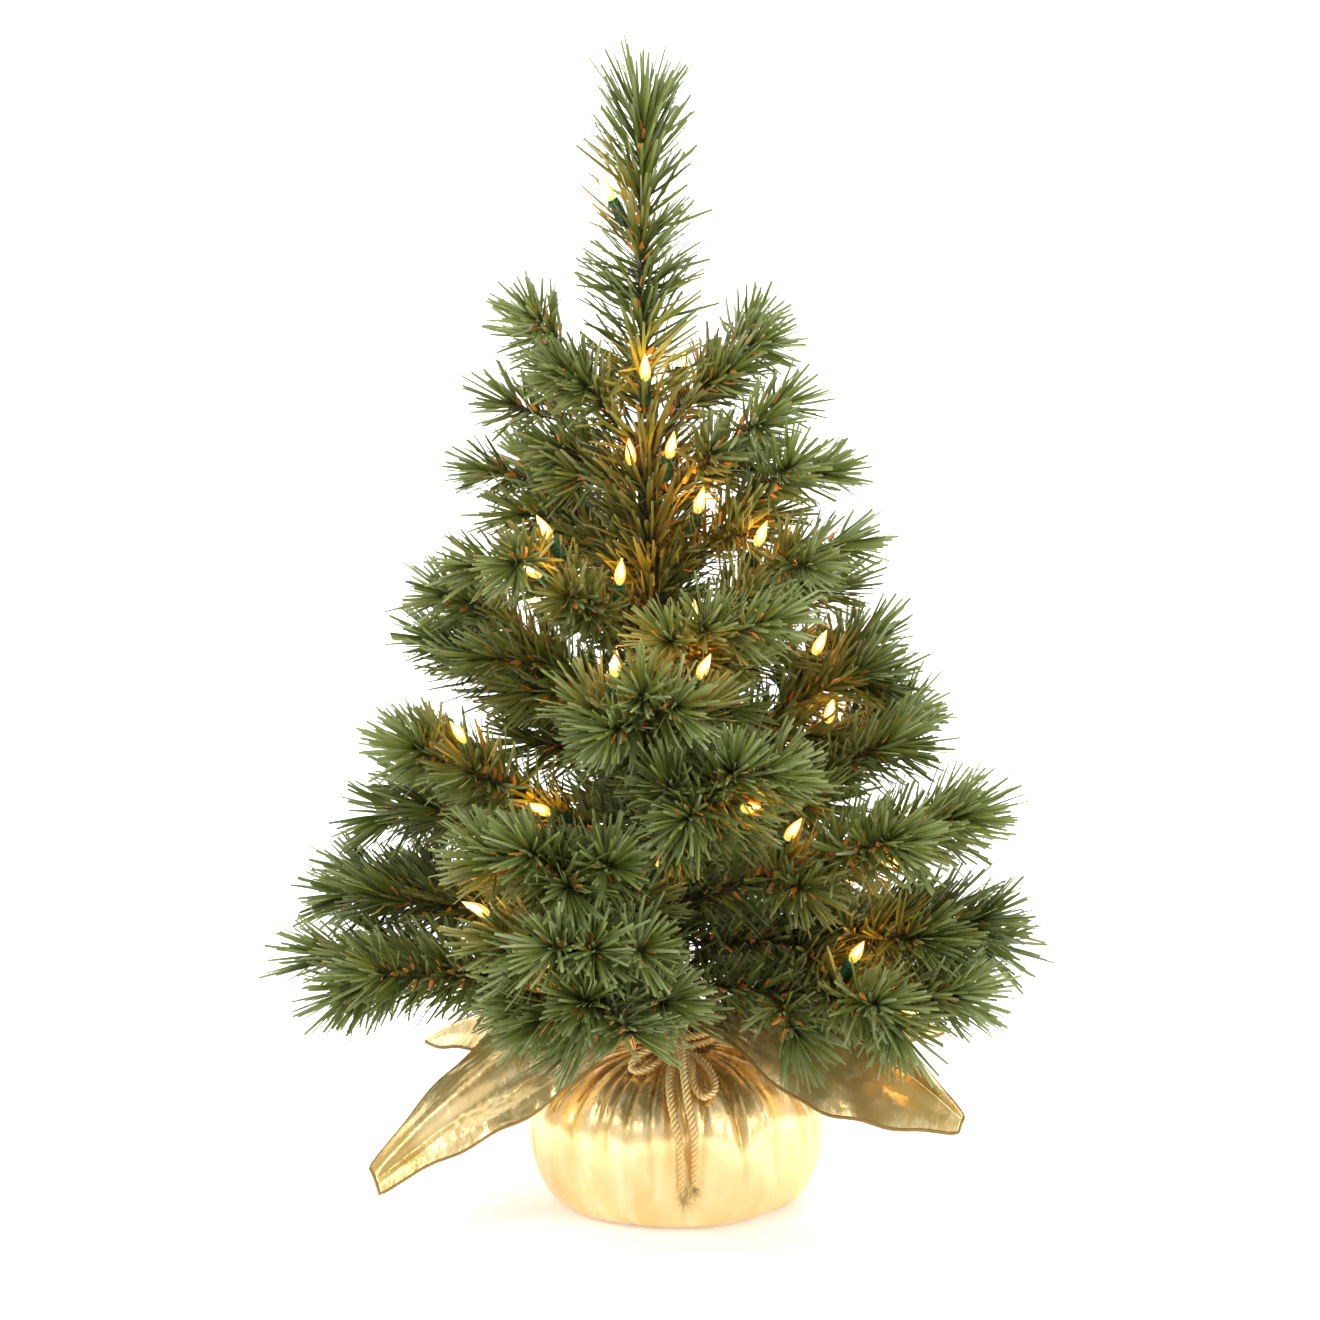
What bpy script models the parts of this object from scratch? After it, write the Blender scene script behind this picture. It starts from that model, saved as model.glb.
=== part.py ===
"""A tabletop tree that stands in a tied gold cloth bag.

Metres, +Z up, +X to the right and -Y to the front. The origin is the centre of the bag's flat foot.
A steel rod is cast into a cement weight inside the bag. Branches of twisted wire, with the dense core of
their needles, grow from the rod in tiers. Each branch bends up and down about its own root.
"""

import math
from typing import NamedTuple

import bmesh
import bpy
from mathutils import Matrix, Vector

# Clearance kept between pieces that touch.
GAP = 0.0003
# Sides of a round piece: large turned ones, small turned ones and the twigs.
TURNED_SIDES = 24
SMALL_SIDES = 8
TWIG_SIDES = 6

# The weight: a plastic tub, and the cement poured into it.
TUB_FOOT_RADIUS = 0.050
TUB_RIM_RADIUS = 0.062
TUB_HEIGHT = 0.056
TUB_WALL = 0.0018
CEMENT_BELOW_RIM = 0.006

# The cloth bag round the tub, drawn in to a neck by the cord.
CLOTH = 0.0012
FOOT_SLACK = 0.005
BELLY_SLACK = 0.014
BELLY_BELOW_RIM = 0.010
NECK_ABOVE_RIM = 0.029
NECK_RADIUS = 0.019
NECK_LIP = 0.003
BELLY_STEPS = 5
SHOULDER_STEPS = 7

# The four free corners of the cloth, which flare out over the neck.
CORNER_THICKNESS = 0.0016
CORNER_STEPS = 9
CORNER_ACROSS = 4
CORNER_ARCH = 0.22
CORNER_WIDTH = 0.044
CORNER_ROOT_WIDTH = 0.012
CORNER_RISE = 0.004
CORNER_TWIST_LENGTH = 0.4

# The tie: two turns of cord round the neck, a knot, two loops and two tails.
CORD_DIAMETER = 0.0045
CORD_TURNS = 2
KNOT_SIZE = 1.16

# The trunk: a steel rod with a sleeve of brown tape round it, leaning to the left.
LEAN_DEG = 2.3
ROD_RADIUS = 0.004
ROD_FOOT = 0.012
TAPE_THICKNESS = 0.0012
TAPE_BELOW_NECK = 0.018
TRUNK_ABOVE_TOP_TIER = 0.008

# A branch: twisted wire with its needles' dense core, which ends in a point of needles.
WIRE_RADIUS = 0.0012
ROOT_RADIUS = 0.0018
BARE_WIRE = 0.018
CORE_RADIUS = 0.0046
CORE_FLARE = 0.014
NEEDLE_POINT = 0.030
TIP_RADIUS = 0.0012
CURL = 0.05
FORK_DEG = 33.0
FORK_AT = 0.46
TWIG_LENGTH = 0.44
TWIG_CORE_RADIUS = 0.0041
LEADER_HEIGHT = 0.610

# The lights: lamp holders with push-in bulbs, and the wire that climbs the trunk.
HOLDER_RADIUS = 0.0033
HOLDER_TAIL_RADIUS = 0.0022
HOLDER_LENGTH = 0.013
SOCKET_RADIUS = 0.0026
SOCKET_DEPTH = 0.008
BULB_RADIUS = 0.0029
BULB_LENGTH = 0.0165
BULB_TIP_RADIUS = 0.0005
LAMP_SHARE = 0.60
LAMP_TILT_DEG = 24.0
LIGHT_WIRE_DIAMETER = 0.0018
LIGHT_WIRE_STEP = 0.0052
PASS_HEIGHT = 0.006


class Tier(NamedTuple):
    """Branches that leave the trunk at one height, evenly round it."""

    above_neck: float
    count: int
    reach: float
    rise_deg: float
    turn_deg: float
    twigs: int


# Heights and reaches in metres. A turn of 0 is to the right, 90 to the back, 180 to the left.
TIERS = (
    Tier(0.033, 5, 0.198, 3.5, 184.0, 2),
    Tier(0.055, 4, 0.204, 6.0, 342.0, 2),
    Tier(0.079, 4, 0.184, 18.0, 335.0, 2),
    Tier(0.104, 4, 0.163, 26.0, 105.0, 2),
    Tier(0.136, 3, 0.154, 30.0, 146.0, 2),
    Tier(0.172, 3, 0.130, 34.0, 284.0, 0),
    Tier(0.214, 3, 0.106, 37.0, 217.0, 0),
    Tier(0.252, 2, 0.094, 40.0, 338.0, 0),
    Tier(0.291, 2, 0.076, 42.0, 156.0, 0),
    Tier(0.328, 2, 0.064, 50.0, 16.0, 0),
)

# Branches that are bent up further than the rest of their tier, by number, in degrees.
BENT_UP_DEG = {2: 5.5, 9: 4.5}


class Corner(NamedTuple):
    """A free corner of the cloth: where it points, its reach and drop, and how it is twisted."""

    name: str
    turn_deg: float
    reach: float
    drop: float
    twist_deg: float


CORNERS = (
    Corner("bag_corner_front_left", 207.0, 0.176, 0.066, -38.0),
    Corner("bag_corner_front_right", 335.0, 0.163, 0.040, 34.0),
    Corner("bag_corner_back_left", 152.0, 0.160, 0.036, -28.0),
    Corner("bag_corner_back_right", 28.0, 0.172, 0.032, 26.0),
)

# The branches that carry a lamp, by tier and place in the tier, and the side that it sits on.
LAMPS = ((0, 2, 1), (1, 3, -1), (2, 0, -1), (3, 2, 1), (6, 0, 1))

# The bow's routes: an offset from the knot's centre in cord diameters, places on the bag's side, and an
# offset back to the knot. A place is its turn from the front to the right in degrees, how far up the side it
# is, from 0 at the foot to 1 at the neck, and how many cord diameters the cord's centre is off the cloth.
LOOP_LEFT = (
    (-1.16, -0.79, -0.19),
    (
        (-18.0, 0.852, 2.2),
        (-26.0, 0.809, 1.9),
        (-28.0, 0.764, 1.3),
        (-23.0, 0.754, 1.0),
        (-16.0, 0.791, 1.0),
    ),
    (-1.44, -1.57, -0.92),
)
LOOP_RIGHT = (
    (1.24, -0.79, -0.41),
    (
        (16.5, 0.818, 1.2),
        (19.0, 0.723, 1.2),
        (17.0, 0.652, 1.3),
        (11.0, 0.636, 1.3),
        (8.0, 0.701, 1.2),
        (9.5, 0.793, 1.1),
    ),
    (1.33, -1.61, -0.88),
)
TAIL_LEFT = (
    (-0.22, -1.57, -0.63),
    (
        (-3.0, 0.809, 1.3),
        (-4.0, 0.719, 1.4),
        (-3.0, 0.623, 1.3),
        (-1.0, 0.538, 1.1),
        (1.0, 0.445, 0.9),
        (2.0, 0.26, 0.8),
    ),
    None,
)
TAIL_RIGHT = (
    (0.11, -1.12, 0.92),
    (
        (2.0, 0.841, 3.2),
        (2.7, 0.768, 3.0),
        (3.2, 0.677, 2.7),
        (4.5, 0.572, 2.1),
        (6.2, 0.489, 1.3),
        (6.5, 0.3, 0.9),
    ),
    None,
)

# What the pieces above fix for their neighbours.
BAG_FLOOR = CLOTH + GAP
TUB_TOP = BAG_FLOOR + TUB_HEIGHT
NECK_HEIGHT = TUB_TOP + NECK_ABOVE_RIM
CORD_RING_RADIUS = NECK_RADIUS + GAP + CORD_DIAMETER / 2
CORD_PITCH = CORD_DIAMETER + GAP
KNOT_RADIUS = KNOT_SIZE * CORD_DIAMETER
NECK_TOP = NECK_HEIGHT + (CORD_TURNS + 1) * CORD_PITCH
TAPE_RADIUS = ROD_RADIUS + GAP + TAPE_THICKNESS
PIVOT_RADIUS = TAPE_RADIUS + GAP + ROOT_RADIUS
TRUNK_TOP = NECK_HEIGHT + TIERS[-1].above_neck + TRUNK_ABOVE_TOP_TIER
TRUNK_FRAME = Matrix.Rotation(math.radians(-LEAN_DEG), 4, "Y")


def clear_scene():
    """Removes whatever the scene holds."""
    for item in list(bpy.data.objects):
        bpy.data.objects.remove(item, do_unlink=True)


def finish_material(name, colour, roughness, metallic=0.0):
    """A Principled material with one plain finish."""
    material = bpy.data.materials.new(name)
    material.use_nodes = True
    shader = material.node_tree.nodes["Principled BSDF"]
    shader.inputs["Base Color"].default_value = (*colour, 1.0)
    shader.inputs["Roughness"].default_value = roughness
    shader.inputs["Metallic"].default_value = metallic
    return material


def add_object(name, data, material, frame=None, parent=None):
    """Links an object into the scene, in its parent's frame."""
    item = bpy.data.objects.new(name, data)
    bpy.context.scene.collection.objects.link(item)
    data.materials.append(material)
    if parent is not None:
        item.parent = parent
    if frame is not None:
        item.matrix_local = frame
    return item


def mesh_from(name, shape):
    """Turns a bmesh into mesh data with its faces pointing out."""
    bmesh.ops.remove_doubles(shape, verts=shape.verts, dist=1e-6)
    bmesh.ops.recalc_face_normals(shape, faces=shape.faces)
    data = bpy.data.meshes.new(name)
    shape.to_mesh(data)
    shape.free()
    data.shade_smooth()
    data.set_sharp_from_angle(angle=math.radians(35))
    return data


def turned(name, profile, sides):
    """A solid of revolution about Z, from a closed outline of (radius, height) points."""
    shape = bmesh.new()
    points = [shape.verts.new((radius, 0.0, height)) for radius, height in profile]
    pairs = list(zip(points, points[1:]))
    if profile[0][0] > 0 or profile[-1][0] > 0:
        pairs.append((points[-1], points[0]))
    outline = points + [shape.edges.new(pair) for pair in pairs]
    axis, centre = (0, 0, 1), (0, 0, 0)
    bmesh.ops.spin(shape, geom=outline, axis=axis, cent=centre, angle=math.tau, steps=sides, use_merge=True)
    return mesh_from(name, shape)


def swept(name, stations, side, sides):
    """A closed tube through stations of (centre, radius). side is roughly square to the whole path."""
    shape = bmesh.new()
    rings = []
    for index, (centre, radius) in enumerate(stations):
        before = stations[max(index - 1, 0)][0]
        after = stations[min(index + 1, len(stations) - 1)][0]
        along = (after - before).normalized()
        across = (side - along * side.dot(along)).normalized()
        other = along.cross(across)
        ring = []
        for corner in range(sides):
            angle = math.tau * corner / sides
            offset = across * math.cos(angle) + other * math.sin(angle)
            ring.append(shape.verts.new(centre + offset * radius))
        rings.append(ring)
    for lower, upper in zip(rings, rings[1:]):
        for corner in range(sides):
            beyond = (corner + 1) % sides
            shape.faces.new((lower[corner], lower[beyond], upper[beyond], upper[corner]))
    shape.faces.new(rings[0])
    shape.faces.new(rings[-1])
    return mesh_from(name, shape)


def smooth_route(points, step):
    """Points about a step apart on a smooth curve through the route's own points."""
    points = [Vector(point) for point in points]
    ends = [points[0] * 2 - points[1], *points, points[-1] * 2 - points[-2]]
    dense = []
    for first, second, third, fourth in zip(ends, ends[1:], ends[2:], ends[3:]):
        for share in (tick / 16 for tick in range(16)):
            linear = third - first
            square = first * 2 - second * 5 + third * 4 - fourth
            cube = second * 3 - first - third * 3 + fourth
            dense.append((second * 2 + linear * share + square * share**2 + cube * share**3) / 2)
    dense.append(points[-1])
    lengths = [0.0]
    for near, far in zip(dense, dense[1:]):
        lengths.append(lengths[-1] + (far - near).length)
    spans = max(2, round(lengths[-1] / step))
    wanted = [lengths[-1] * tick / spans for tick in range(spans + 1)]
    route, index = [], 0
    for distance in wanted:
        while index < len(dense) - 2 and lengths[index + 1] < distance:
            index += 1
        share = (distance - lengths[index]) / (lengths[index + 1] - lengths[index])
        route.append(dense[index].lerp(dense[index + 1], min(share, 1.0)))
    return route


def cord_curve(name, route, diameter):
    """A round cord as a curve through every point of its route, with capped ends."""
    curve = bpy.data.curves.new(name, "CURVE")
    curve.dimensions = "3D"
    curve.bevel_depth = diameter / 2
    curve.bevel_resolution = 2
    curve.use_fill_caps = True
    spline = curve.splines.new("POLY")
    spline.points.add(len(route) - 1)
    for place, point in zip(spline.points, route):
        place.co = (*point, 1.0)
    return curve


def make_weight(tub_finish, cement_finish, rod_finish):
    """The tub, the cement in it with a slanting hole for the rod, and the rod."""
    inner_foot = TUB_FOOT_RADIUS - TUB_WALL
    inner_rim = TUB_RIM_RADIUS - TUB_WALL
    tub = [
        (0.0, BAG_FLOOR),
        (TUB_FOOT_RADIUS, BAG_FLOOR),
        (TUB_RIM_RADIUS, TUB_TOP),
        (inner_rim, TUB_TOP),
        (inner_foot, BAG_FLOOR + TUB_WALL),
        (0.0, BAG_FLOOR + TUB_WALL),
    ]
    add_object("weight_tub", turned("weight_tub", tub, TURNED_SIDES), tub_finish)
    cement_floor = BAG_FLOOR + TUB_WALL + GAP
    cement_top = TUB_TOP - CEMENT_BELOW_RIM
    slope = (inner_rim - inner_foot) / (TUB_HEIGHT - TUB_WALL)
    top_radius = inner_foot + slope * (cement_top - BAG_FLOOR - TUB_WALL) - 2 * GAP
    cement = [
        (0.0, cement_floor),
        (inner_foot - 2 * GAP, cement_floor),
        (top_radius, cement_top),
        (0.0, cement_top),
    ]
    block = add_object("cement_weight", turned("cement_weight", cement, TURNED_SIDES), cement_finish)
    bore = turned("rod_hole", rod_outline(ROD_RADIUS + GAP, ROD_FOOT - GAP, TUB_TOP), TURNED_SIDES // 2)
    hole = add_object("rod_hole", bore, rod_finish, TRUNK_FRAME)
    cut_from(block, hole)
    rod = rod_outline(ROD_RADIUS, ROD_FOOT, TRUNK_TOP)
    add_object("trunk_rod", turned("trunk_rod", rod, TURNED_SIDES // 2), rod_finish, TRUNK_FRAME)


def rod_outline(radius, low, high):
    """The outline of a plain round bar."""
    return [(0.0, low), (radius, low), (radius, high), (0.0, high)]


def cut_from(item, cutter):
    """Takes the cutter's shape out of an object."""
    helper(cutter)
    cut = item.modifiers.new("cut", "BOOLEAN")
    cut.operation = "DIFFERENCE"
    cut.object = cutter


def join_to(item, addition):
    """Joins another shape to an object."""
    helper(addition)
    union = item.modifiers.new("join", "BOOLEAN")
    union.operation = "UNION"
    union.object = addition


def helper(item):
    """Marks an object that is only there for a Boolean."""
    item.hide_render = True
    item.display_type = "WIRE"


def bag_outline():
    """The bag's outer outline from the foot's centre to the lip of the neck."""
    foot = TUB_FOOT_RADIUS + FOOT_SLACK
    belly = TUB_RIM_RADIUS + BELLY_SLACK
    belly_height = TUB_TOP - BELLY_BELOW_RIM
    outline = [(0.0, 0.0), (foot, 0.0)]
    for step in range(1, BELLY_STEPS + 1):
        angle = math.pi / 2 * step / BELLY_STEPS
        outline.append((foot + (belly - foot) * math.sin(angle), belly_height * (1 - math.cos(angle))))
    for step in range(1, SHOULDER_STEPS + 1):
        angle = math.pi / 2 * step / SHOULDER_STEPS
        radius = NECK_RADIUS + (belly - NECK_RADIUS) * math.cos(angle)
        outline.append((radius, belly_height + (NECK_HEIGHT - belly_height) * math.sin(angle)))
    outline.append((NECK_RADIUS, NECK_TOP))
    outline.append((NECK_RADIUS + NECK_LIP, NECK_TOP + NECK_LIP))
    return outline


def bag_side_point(turn_deg, along, clear):
    """A point that stands clear of the bag's side, at a share of the way up it from the foot to the neck."""
    side = [Vector(point) for point in bag_outline()[1:-2]]
    lengths = [(upper - lower).length for lower, upper in zip(side, side[1:])]
    left = along * sum(lengths)
    for lower, upper, length in zip(side, side[1:], lengths):
        if left <= length:
            break
        left -= length
    heading = (upper - lower) / length
    radius, height = lower + heading * left + Vector((heading.y, -heading.x)) * clear
    turn = math.radians(turn_deg)
    return Vector((radius * math.sin(turn), -radius * math.cos(turn), height))


def inset(outline, thickness):
    """The outline moved in by a wall's thickness, in reverse order, from the lip back to the axis."""
    moved = []
    for index, (radius, height) in enumerate(outline):
        before = Vector(outline[max(index - 1, 0)])
        after = Vector(outline[min(index + 1, len(outline) - 1)])
        along = (after - before).normalized()
        moved.append((max(radius - along.y * thickness, 0.0), height + along.x * thickness))
    moved[0] = (0.0, thickness)
    moved[1] = (outline[1][0] - thickness / 2, thickness)
    return moved[::-1]


def make_bag(cloth_finish):
    """The bag as a turned shell, open at the neck, and its four corners."""
    outline = bag_outline()
    profile = outline + inset(outline, CLOTH)
    add_object("gold_bag", turned("gold_bag", profile, TURNED_SIDES), cloth_finish)
    for corner in CORNERS:
        frame = Matrix.Rotation(math.radians(corner.turn_deg), 4, "Z")
        item = add_object(corner.name, corner_sheet(corner), cloth_finish, frame)
        thick = item.modifiers.new("cloth", "SOLIDIFY")
        thick.thickness = CORNER_THICKNESS
        thick.offset = 0.0


def corner_sheet(corner):
    """One cloth corner along +X: narrow at the neck, broad at its middle, pointed and drooping at its tip."""
    start = NECK_RADIUS + NECK_LIP + GAP + CORNER_THICKNESS
    height = NECK_TOP + NECK_LIP / 2
    shape = bmesh.new()
    rows = []
    for step in range(CORNER_STEPS + 1):
        share = step / CORNER_STEPS
        half = (CORNER_ROOT_WIDTH * (1 - share) + CORNER_WIDTH * math.sin(math.pi * share) ** 0.8) / 2
        along = start + (corner.reach - start) * share
        centre = height + CORNER_RISE * math.sin(math.pi * share) - corner.drop * share**1.7
        twist = math.radians(corner.twist_deg) * min(share / CORNER_TWIST_LENGTH, 1.0)
        row = []
        for place in range(CORNER_ACROSS + 1):
            across = 2 * place / CORNER_ACROSS - 1
            width = max(half, CORNER_THICKNESS) * across
            lift = width * math.sin(twist) - CORNER_ARCH * half * across**2
            row.append(shape.verts.new((along, width * math.cos(twist), centre + lift)))
        rows.append(row)
    for near, far in zip(rows, rows[1:]):
        for place in range(CORNER_ACROSS):
            shape.faces.new((near[place], far[place], far[place + 1], near[place + 1]))
    return mesh_from(corner.name, shape)


def make_tie(cord_finish):
    """The cord wound round the neck, the knot at the front, and the bow."""
    ring = []
    points_in_turn = round(math.tau * CORD_RING_RADIUS / (2.4 * CORD_DIAMETER))
    ring_low = NECK_HEIGHT + CORD_DIAMETER / 2 + CORD_PITCH / 4
    chord_bulge = CORD_RING_RADIUS / math.cos(math.pi / points_in_turn)
    for index in range(points_in_turn * CORD_TURNS):
        turns = index / points_in_turn
        angle = math.tau * turns - math.pi / 2
        height = ring_low + CORD_PITCH * turns
        ring.append(Vector((chord_bulge * math.cos(angle), chord_bulge * math.sin(angle), height)))
    add_object("neck_cord", cord_curve("neck_cord", ring, CORD_DIAMETER), cord_finish)
    knot_outline = []
    for step in range(7):
        angle = math.pi * step / 6
        knot_outline.append((KNOT_RADIUS * math.sin(angle), -KNOT_RADIUS * math.cos(angle)))
    knot_outline[0] = (0.0, -KNOT_RADIUS)
    knot_outline[-1] = (0.0, KNOT_RADIUS)
    knot_reach = chord_bulge + CORD_DIAMETER / 2 + GAP + KNOT_RADIUS
    knot_place = Vector((0.0, -knot_reach, ring_low + CORD_PITCH / 2))
    knot = turned("bow_knot", knot_outline, SMALL_SIDES + 2)
    add_object("bow_knot", knot, cord_finish, Matrix.Translation(knot_place))
    routes = {
        "bow_loop_left": LOOP_LEFT,
        "bow_loop_right": LOOP_RIGHT,
        "bow_tail_left": TAIL_LEFT,
        "bow_tail_right": TAIL_RIGHT,
    }
    for name, (leave, lays, back) in routes.items():
        points = [knot_place + Vector(leave) * CORD_DIAMETER]
        points += [bag_side_point(turn_deg, along, clear * CORD_DIAMETER) for turn_deg, along, clear in lays]
        if back is not None:
            points.append(knot_place + Vector(back) * CORD_DIAMETER)
        route = smooth_route(points, 1.6 * CORD_DIAMETER)
        add_object(name, cord_curve(name, route, CORD_DIAMETER), cord_finish)


def make_trunk(tape_finish, wire_finish):
    """The tape sleeve round the rod, and the light wire that climbs it between the branches."""
    low = NECK_HEIGHT - TAPE_BELOW_NECK
    bore = ROD_RADIUS + GAP
    sleeve = [(bore, low), (TAPE_RADIUS, low), (TAPE_RADIUS, TRUNK_TOP), (bore, TRUNK_TOP)]
    add_object("trunk_tape", turned("trunk_tape", sleeve, TURNED_SIDES // 2), tape_finish, TRUNK_FRAME)
    route = light_wire_route()
    curve = cord_curve("light_wire", route, LIGHT_WIRE_DIAMETER)
    add_object("light_wire", curve, wire_finish, TRUNK_FRAME)


def light_wire_route():
    """Points up the trunk, in its own frame. The wire passes each tier midway between two of its branches."""
    radius = TAPE_RADIUS + 3 * GAP + LIGHT_WIRE_DIAMETER / 2
    passes, turn = [], TIERS[0].turn_deg
    for tier in TIERS:
        gaps = [tier.turn_deg + (place + 0.5) * 360 / tier.count for place in range(tier.count)]
        turn = min((gap + 360 * lap for gap in gaps for lap in range(-4, 5)), key=lambda gap: abs(gap - turn))
        height = (NECK_HEIGHT + tier.above_neck) / math.cos(math.radians(LEAN_DEG))
        passes += [(height - PASS_HEIGHT, turn), (height + PASS_HEIGHT, turn)]
    low, high = NECK_HEIGHT, passes[-1][0] + PASS_HEIGHT / 2
    route = []
    steps = math.ceil((high - low) / LIGHT_WIRE_STEP)
    for step in range(steps + 1):
        height = low + (high - low) * step / steps
        angle = math.radians(turn_at(passes, height))
        route.append(Vector((radius * math.cos(angle), radius * math.sin(angle), height)))
    return route


def turn_at(passes, height):
    """The turn at a height, eased between the two passes round it."""
    if height <= passes[0][0]:
        return passes[0][1]
    for (low, first), (high, second) in zip(passes, passes[1:]):
        if height <= high:
            share = (height - low) / (high - low)
            return first + (second - first) * share * share * (3 - 2 * share)
    return passes[-1][1]


def branch_point(tier, distance, length, sideways=0.0):
    """A point along a branch in its own frame: +X away from the trunk, +Z up, the root at the origin."""
    rise = math.radians(tier.rise_deg)
    lift = CURL * length * (distance / length) ** 2
    forward = distance * math.cos(rise) - lift * math.sin(rise)
    return Vector((forward, sideways, distance * math.sin(rise) + lift * math.cos(rise)))


def branch_length(tier):
    """The branch's length from its root to its needles' tips."""
    return (tier.reach - PIVOT_RADIUS) / math.cos(math.radians(tier.rise_deg))


def root_stations(bare):
    """Distances and radii of a root round its pivot, and of the bare wire beyond it."""
    return [
        (-0.8 * ROOT_RADIUS, 0.6 * ROOT_RADIUS),
        (0.0, ROOT_RADIUS),
        (0.8 * ROOT_RADIUS, WIRE_RADIUS),
        (bare, WIRE_RADIUS),
    ]


def core_stations(length, core, root):
    """Distances and radii of a needle core, after the stations of its root."""
    flare = root[-1][0] + CORE_FLARE
    taper = length - NEEDLE_POINT
    middle = (flare + taper) / 2
    return [*root, (flare, core), (middle, core), (taper, core), (length, TIP_RADIUS)]


def make_branch(name, tier, turn_deg, needle_finish):
    """One branch on its pivot, with its twigs joined to it. Returns the object."""
    length = branch_length(tier)
    stations = []
    for distance, radius in core_stations(length, CORE_RADIUS, root_stations(BARE_WIRE)):
        stations.append((branch_point(tier, distance, length), radius))
    mesh = swept(name, stations, Vector((0, 1, 0)), TWIG_SIDES)
    turn = math.radians(turn_deg)
    height = NECK_HEIGHT + tier.above_neck
    axis_point = TRUNK_FRAME @ Vector((0, 0, height / math.cos(math.radians(LEAN_DEG))))
    pivot = axis_point + Vector((math.cos(turn), math.sin(turn), 0)) * PIVOT_RADIUS
    frame = Matrix.Translation(pivot) @ Matrix.Rotation(turn, 4, "Z")
    branch = add_object(name, mesh, needle_finish, frame)
    for side in (-1, 1)[: tier.twigs]:
        twig = add_object(f"{name}_twig_{side:+d}", twig_mesh(tier, length, side), needle_finish, frame)
        join_to(branch, twig)
    return branch


def twig_mesh(tier, length, side):
    """A side twig that leaves the branch's core at the fork."""
    fork = length * FORK_AT
    start = branch_point(tier, fork, length)
    ahead = (branch_point(tier, fork + CORE_FLARE, length) - start).normalized()
    spread = math.radians(FORK_DEG) * side
    heading = ahead * math.cos(spread) + Vector((0, 1, 0)) * math.sin(spread)
    normal = heading.cross(Vector((0, 0, 1))).normalized()
    reach = length * TWIG_LENGTH
    stations = []
    for distance, radius in core_stations(reach, TWIG_CORE_RADIUS, [(0.0, WIRE_RADIUS)]):
        lift = Vector((0, 0, CURL * reach * (distance / reach) ** 2))
        stations.append((start + heading * distance + lift, radius))
    return swept("twig", stations, normal, TWIG_SIDES)


def make_lamp(number, branch, tier, side, holder_finish, bulb_finish):
    """A lamp holder beside a branch, with its bulb pushed in. Both ride on the branch."""
    length = branch_length(tier)
    place = branch_point(tier, length * LAMP_SHARE, length)
    ahead = (branch_point(tier, length * LAMP_SHARE + CORE_FLARE, length) - place).normalized()
    beside = CORE_RADIUS + GAP * 2 + HOLDER_RADIUS
    across = Vector((0, side, 0))
    up = across.cross(ahead) * side
    outward = (across + up * 0.9).normalized()
    tilt = math.radians(LAMP_TILT_DEG)
    axis = (ahead * math.cos(tilt) + outward * math.sin(tilt)).normalized()
    turn = axis.to_track_quat("Z", "Y").to_matrix().to_4x4()
    frame = Matrix.Translation(place + outward * beside) @ turn
    floor = HOLDER_LENGTH - SOCKET_DEPTH
    holder = [
        (0.0, 0.0),
        (HOLDER_TAIL_RADIUS, 0.0),
        (HOLDER_RADIUS, floor / 2),
        (HOLDER_RADIUS, HOLDER_LENGTH),
        (SOCKET_RADIUS, HOLDER_LENGTH),
        (SOCKET_RADIUS, floor),
        (0.0, floor),
    ]
    holder_name = f"lamp_holder_{number}"
    add_object(holder_name, turned(holder_name, holder, SMALL_SIDES), holder_finish, frame, branch)
    stem = SOCKET_RADIUS - 1.2 * GAP
    seat = HOLDER_LENGTH + GAP
    bulb = [
        (0.0, floor + GAP),
        (stem, floor + GAP),
        (stem, seat),
        (BULB_RADIUS, seat + 0.25 * BULB_LENGTH),
        (0.85 * BULB_RADIUS, seat + 0.55 * BULB_LENGTH),
        (BULB_TIP_RADIUS, seat + BULB_LENGTH),
        (0.0, seat + BULB_LENGTH),
    ]
    bulb_name = f"lamp_bulb_{number}"
    add_object(bulb_name, turned(bulb_name, bulb, SMALL_SIDES), bulb_finish, frame, branch)


def make_leader(needle_finish):
    """The upright top of the tree, which bends about its own root at the trunk's end."""
    low = TRUNK_TOP + GAP + ROOT_RADIUS
    length = LEADER_HEIGHT / math.cos(math.radians(LEAN_DEG)) - low
    stations = []
    for distance, radius in core_stations(length, CORE_RADIUS, root_stations(2.2 * ROOT_RADIUS)):
        stations.append((Vector((0, 0, distance)), radius))
    frame = TRUNK_FRAME @ Matrix.Translation((0, 0, low))
    add_object("leader", swept("leader", stations, Vector((0, 1, 0)), SMALL_SIDES), needle_finish, frame)


def make_branches(needle_finish, holder_finish, bulb_finish):
    """Every branch of every tier, and the lamps that some of them carry."""
    number, lamp = 0, 0
    for tier_index, tier in enumerate(TIERS):
        for place in range(tier.count):
            number += 1
            turn_deg = tier.turn_deg + 360 * place / tier.count
            bent = tier._replace(rise_deg=tier.rise_deg + BENT_UP_DEG.get(number, 0.0))
            branch = make_branch(f"branch_{number:02d}", bent, turn_deg, needle_finish)
            for lamp_tier, lamp_place, side in LAMPS:
                if (lamp_tier, lamp_place) == (tier_index, place):
                    lamp += 1
                    make_lamp(lamp, branch, bent, side, holder_finish, bulb_finish)


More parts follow.
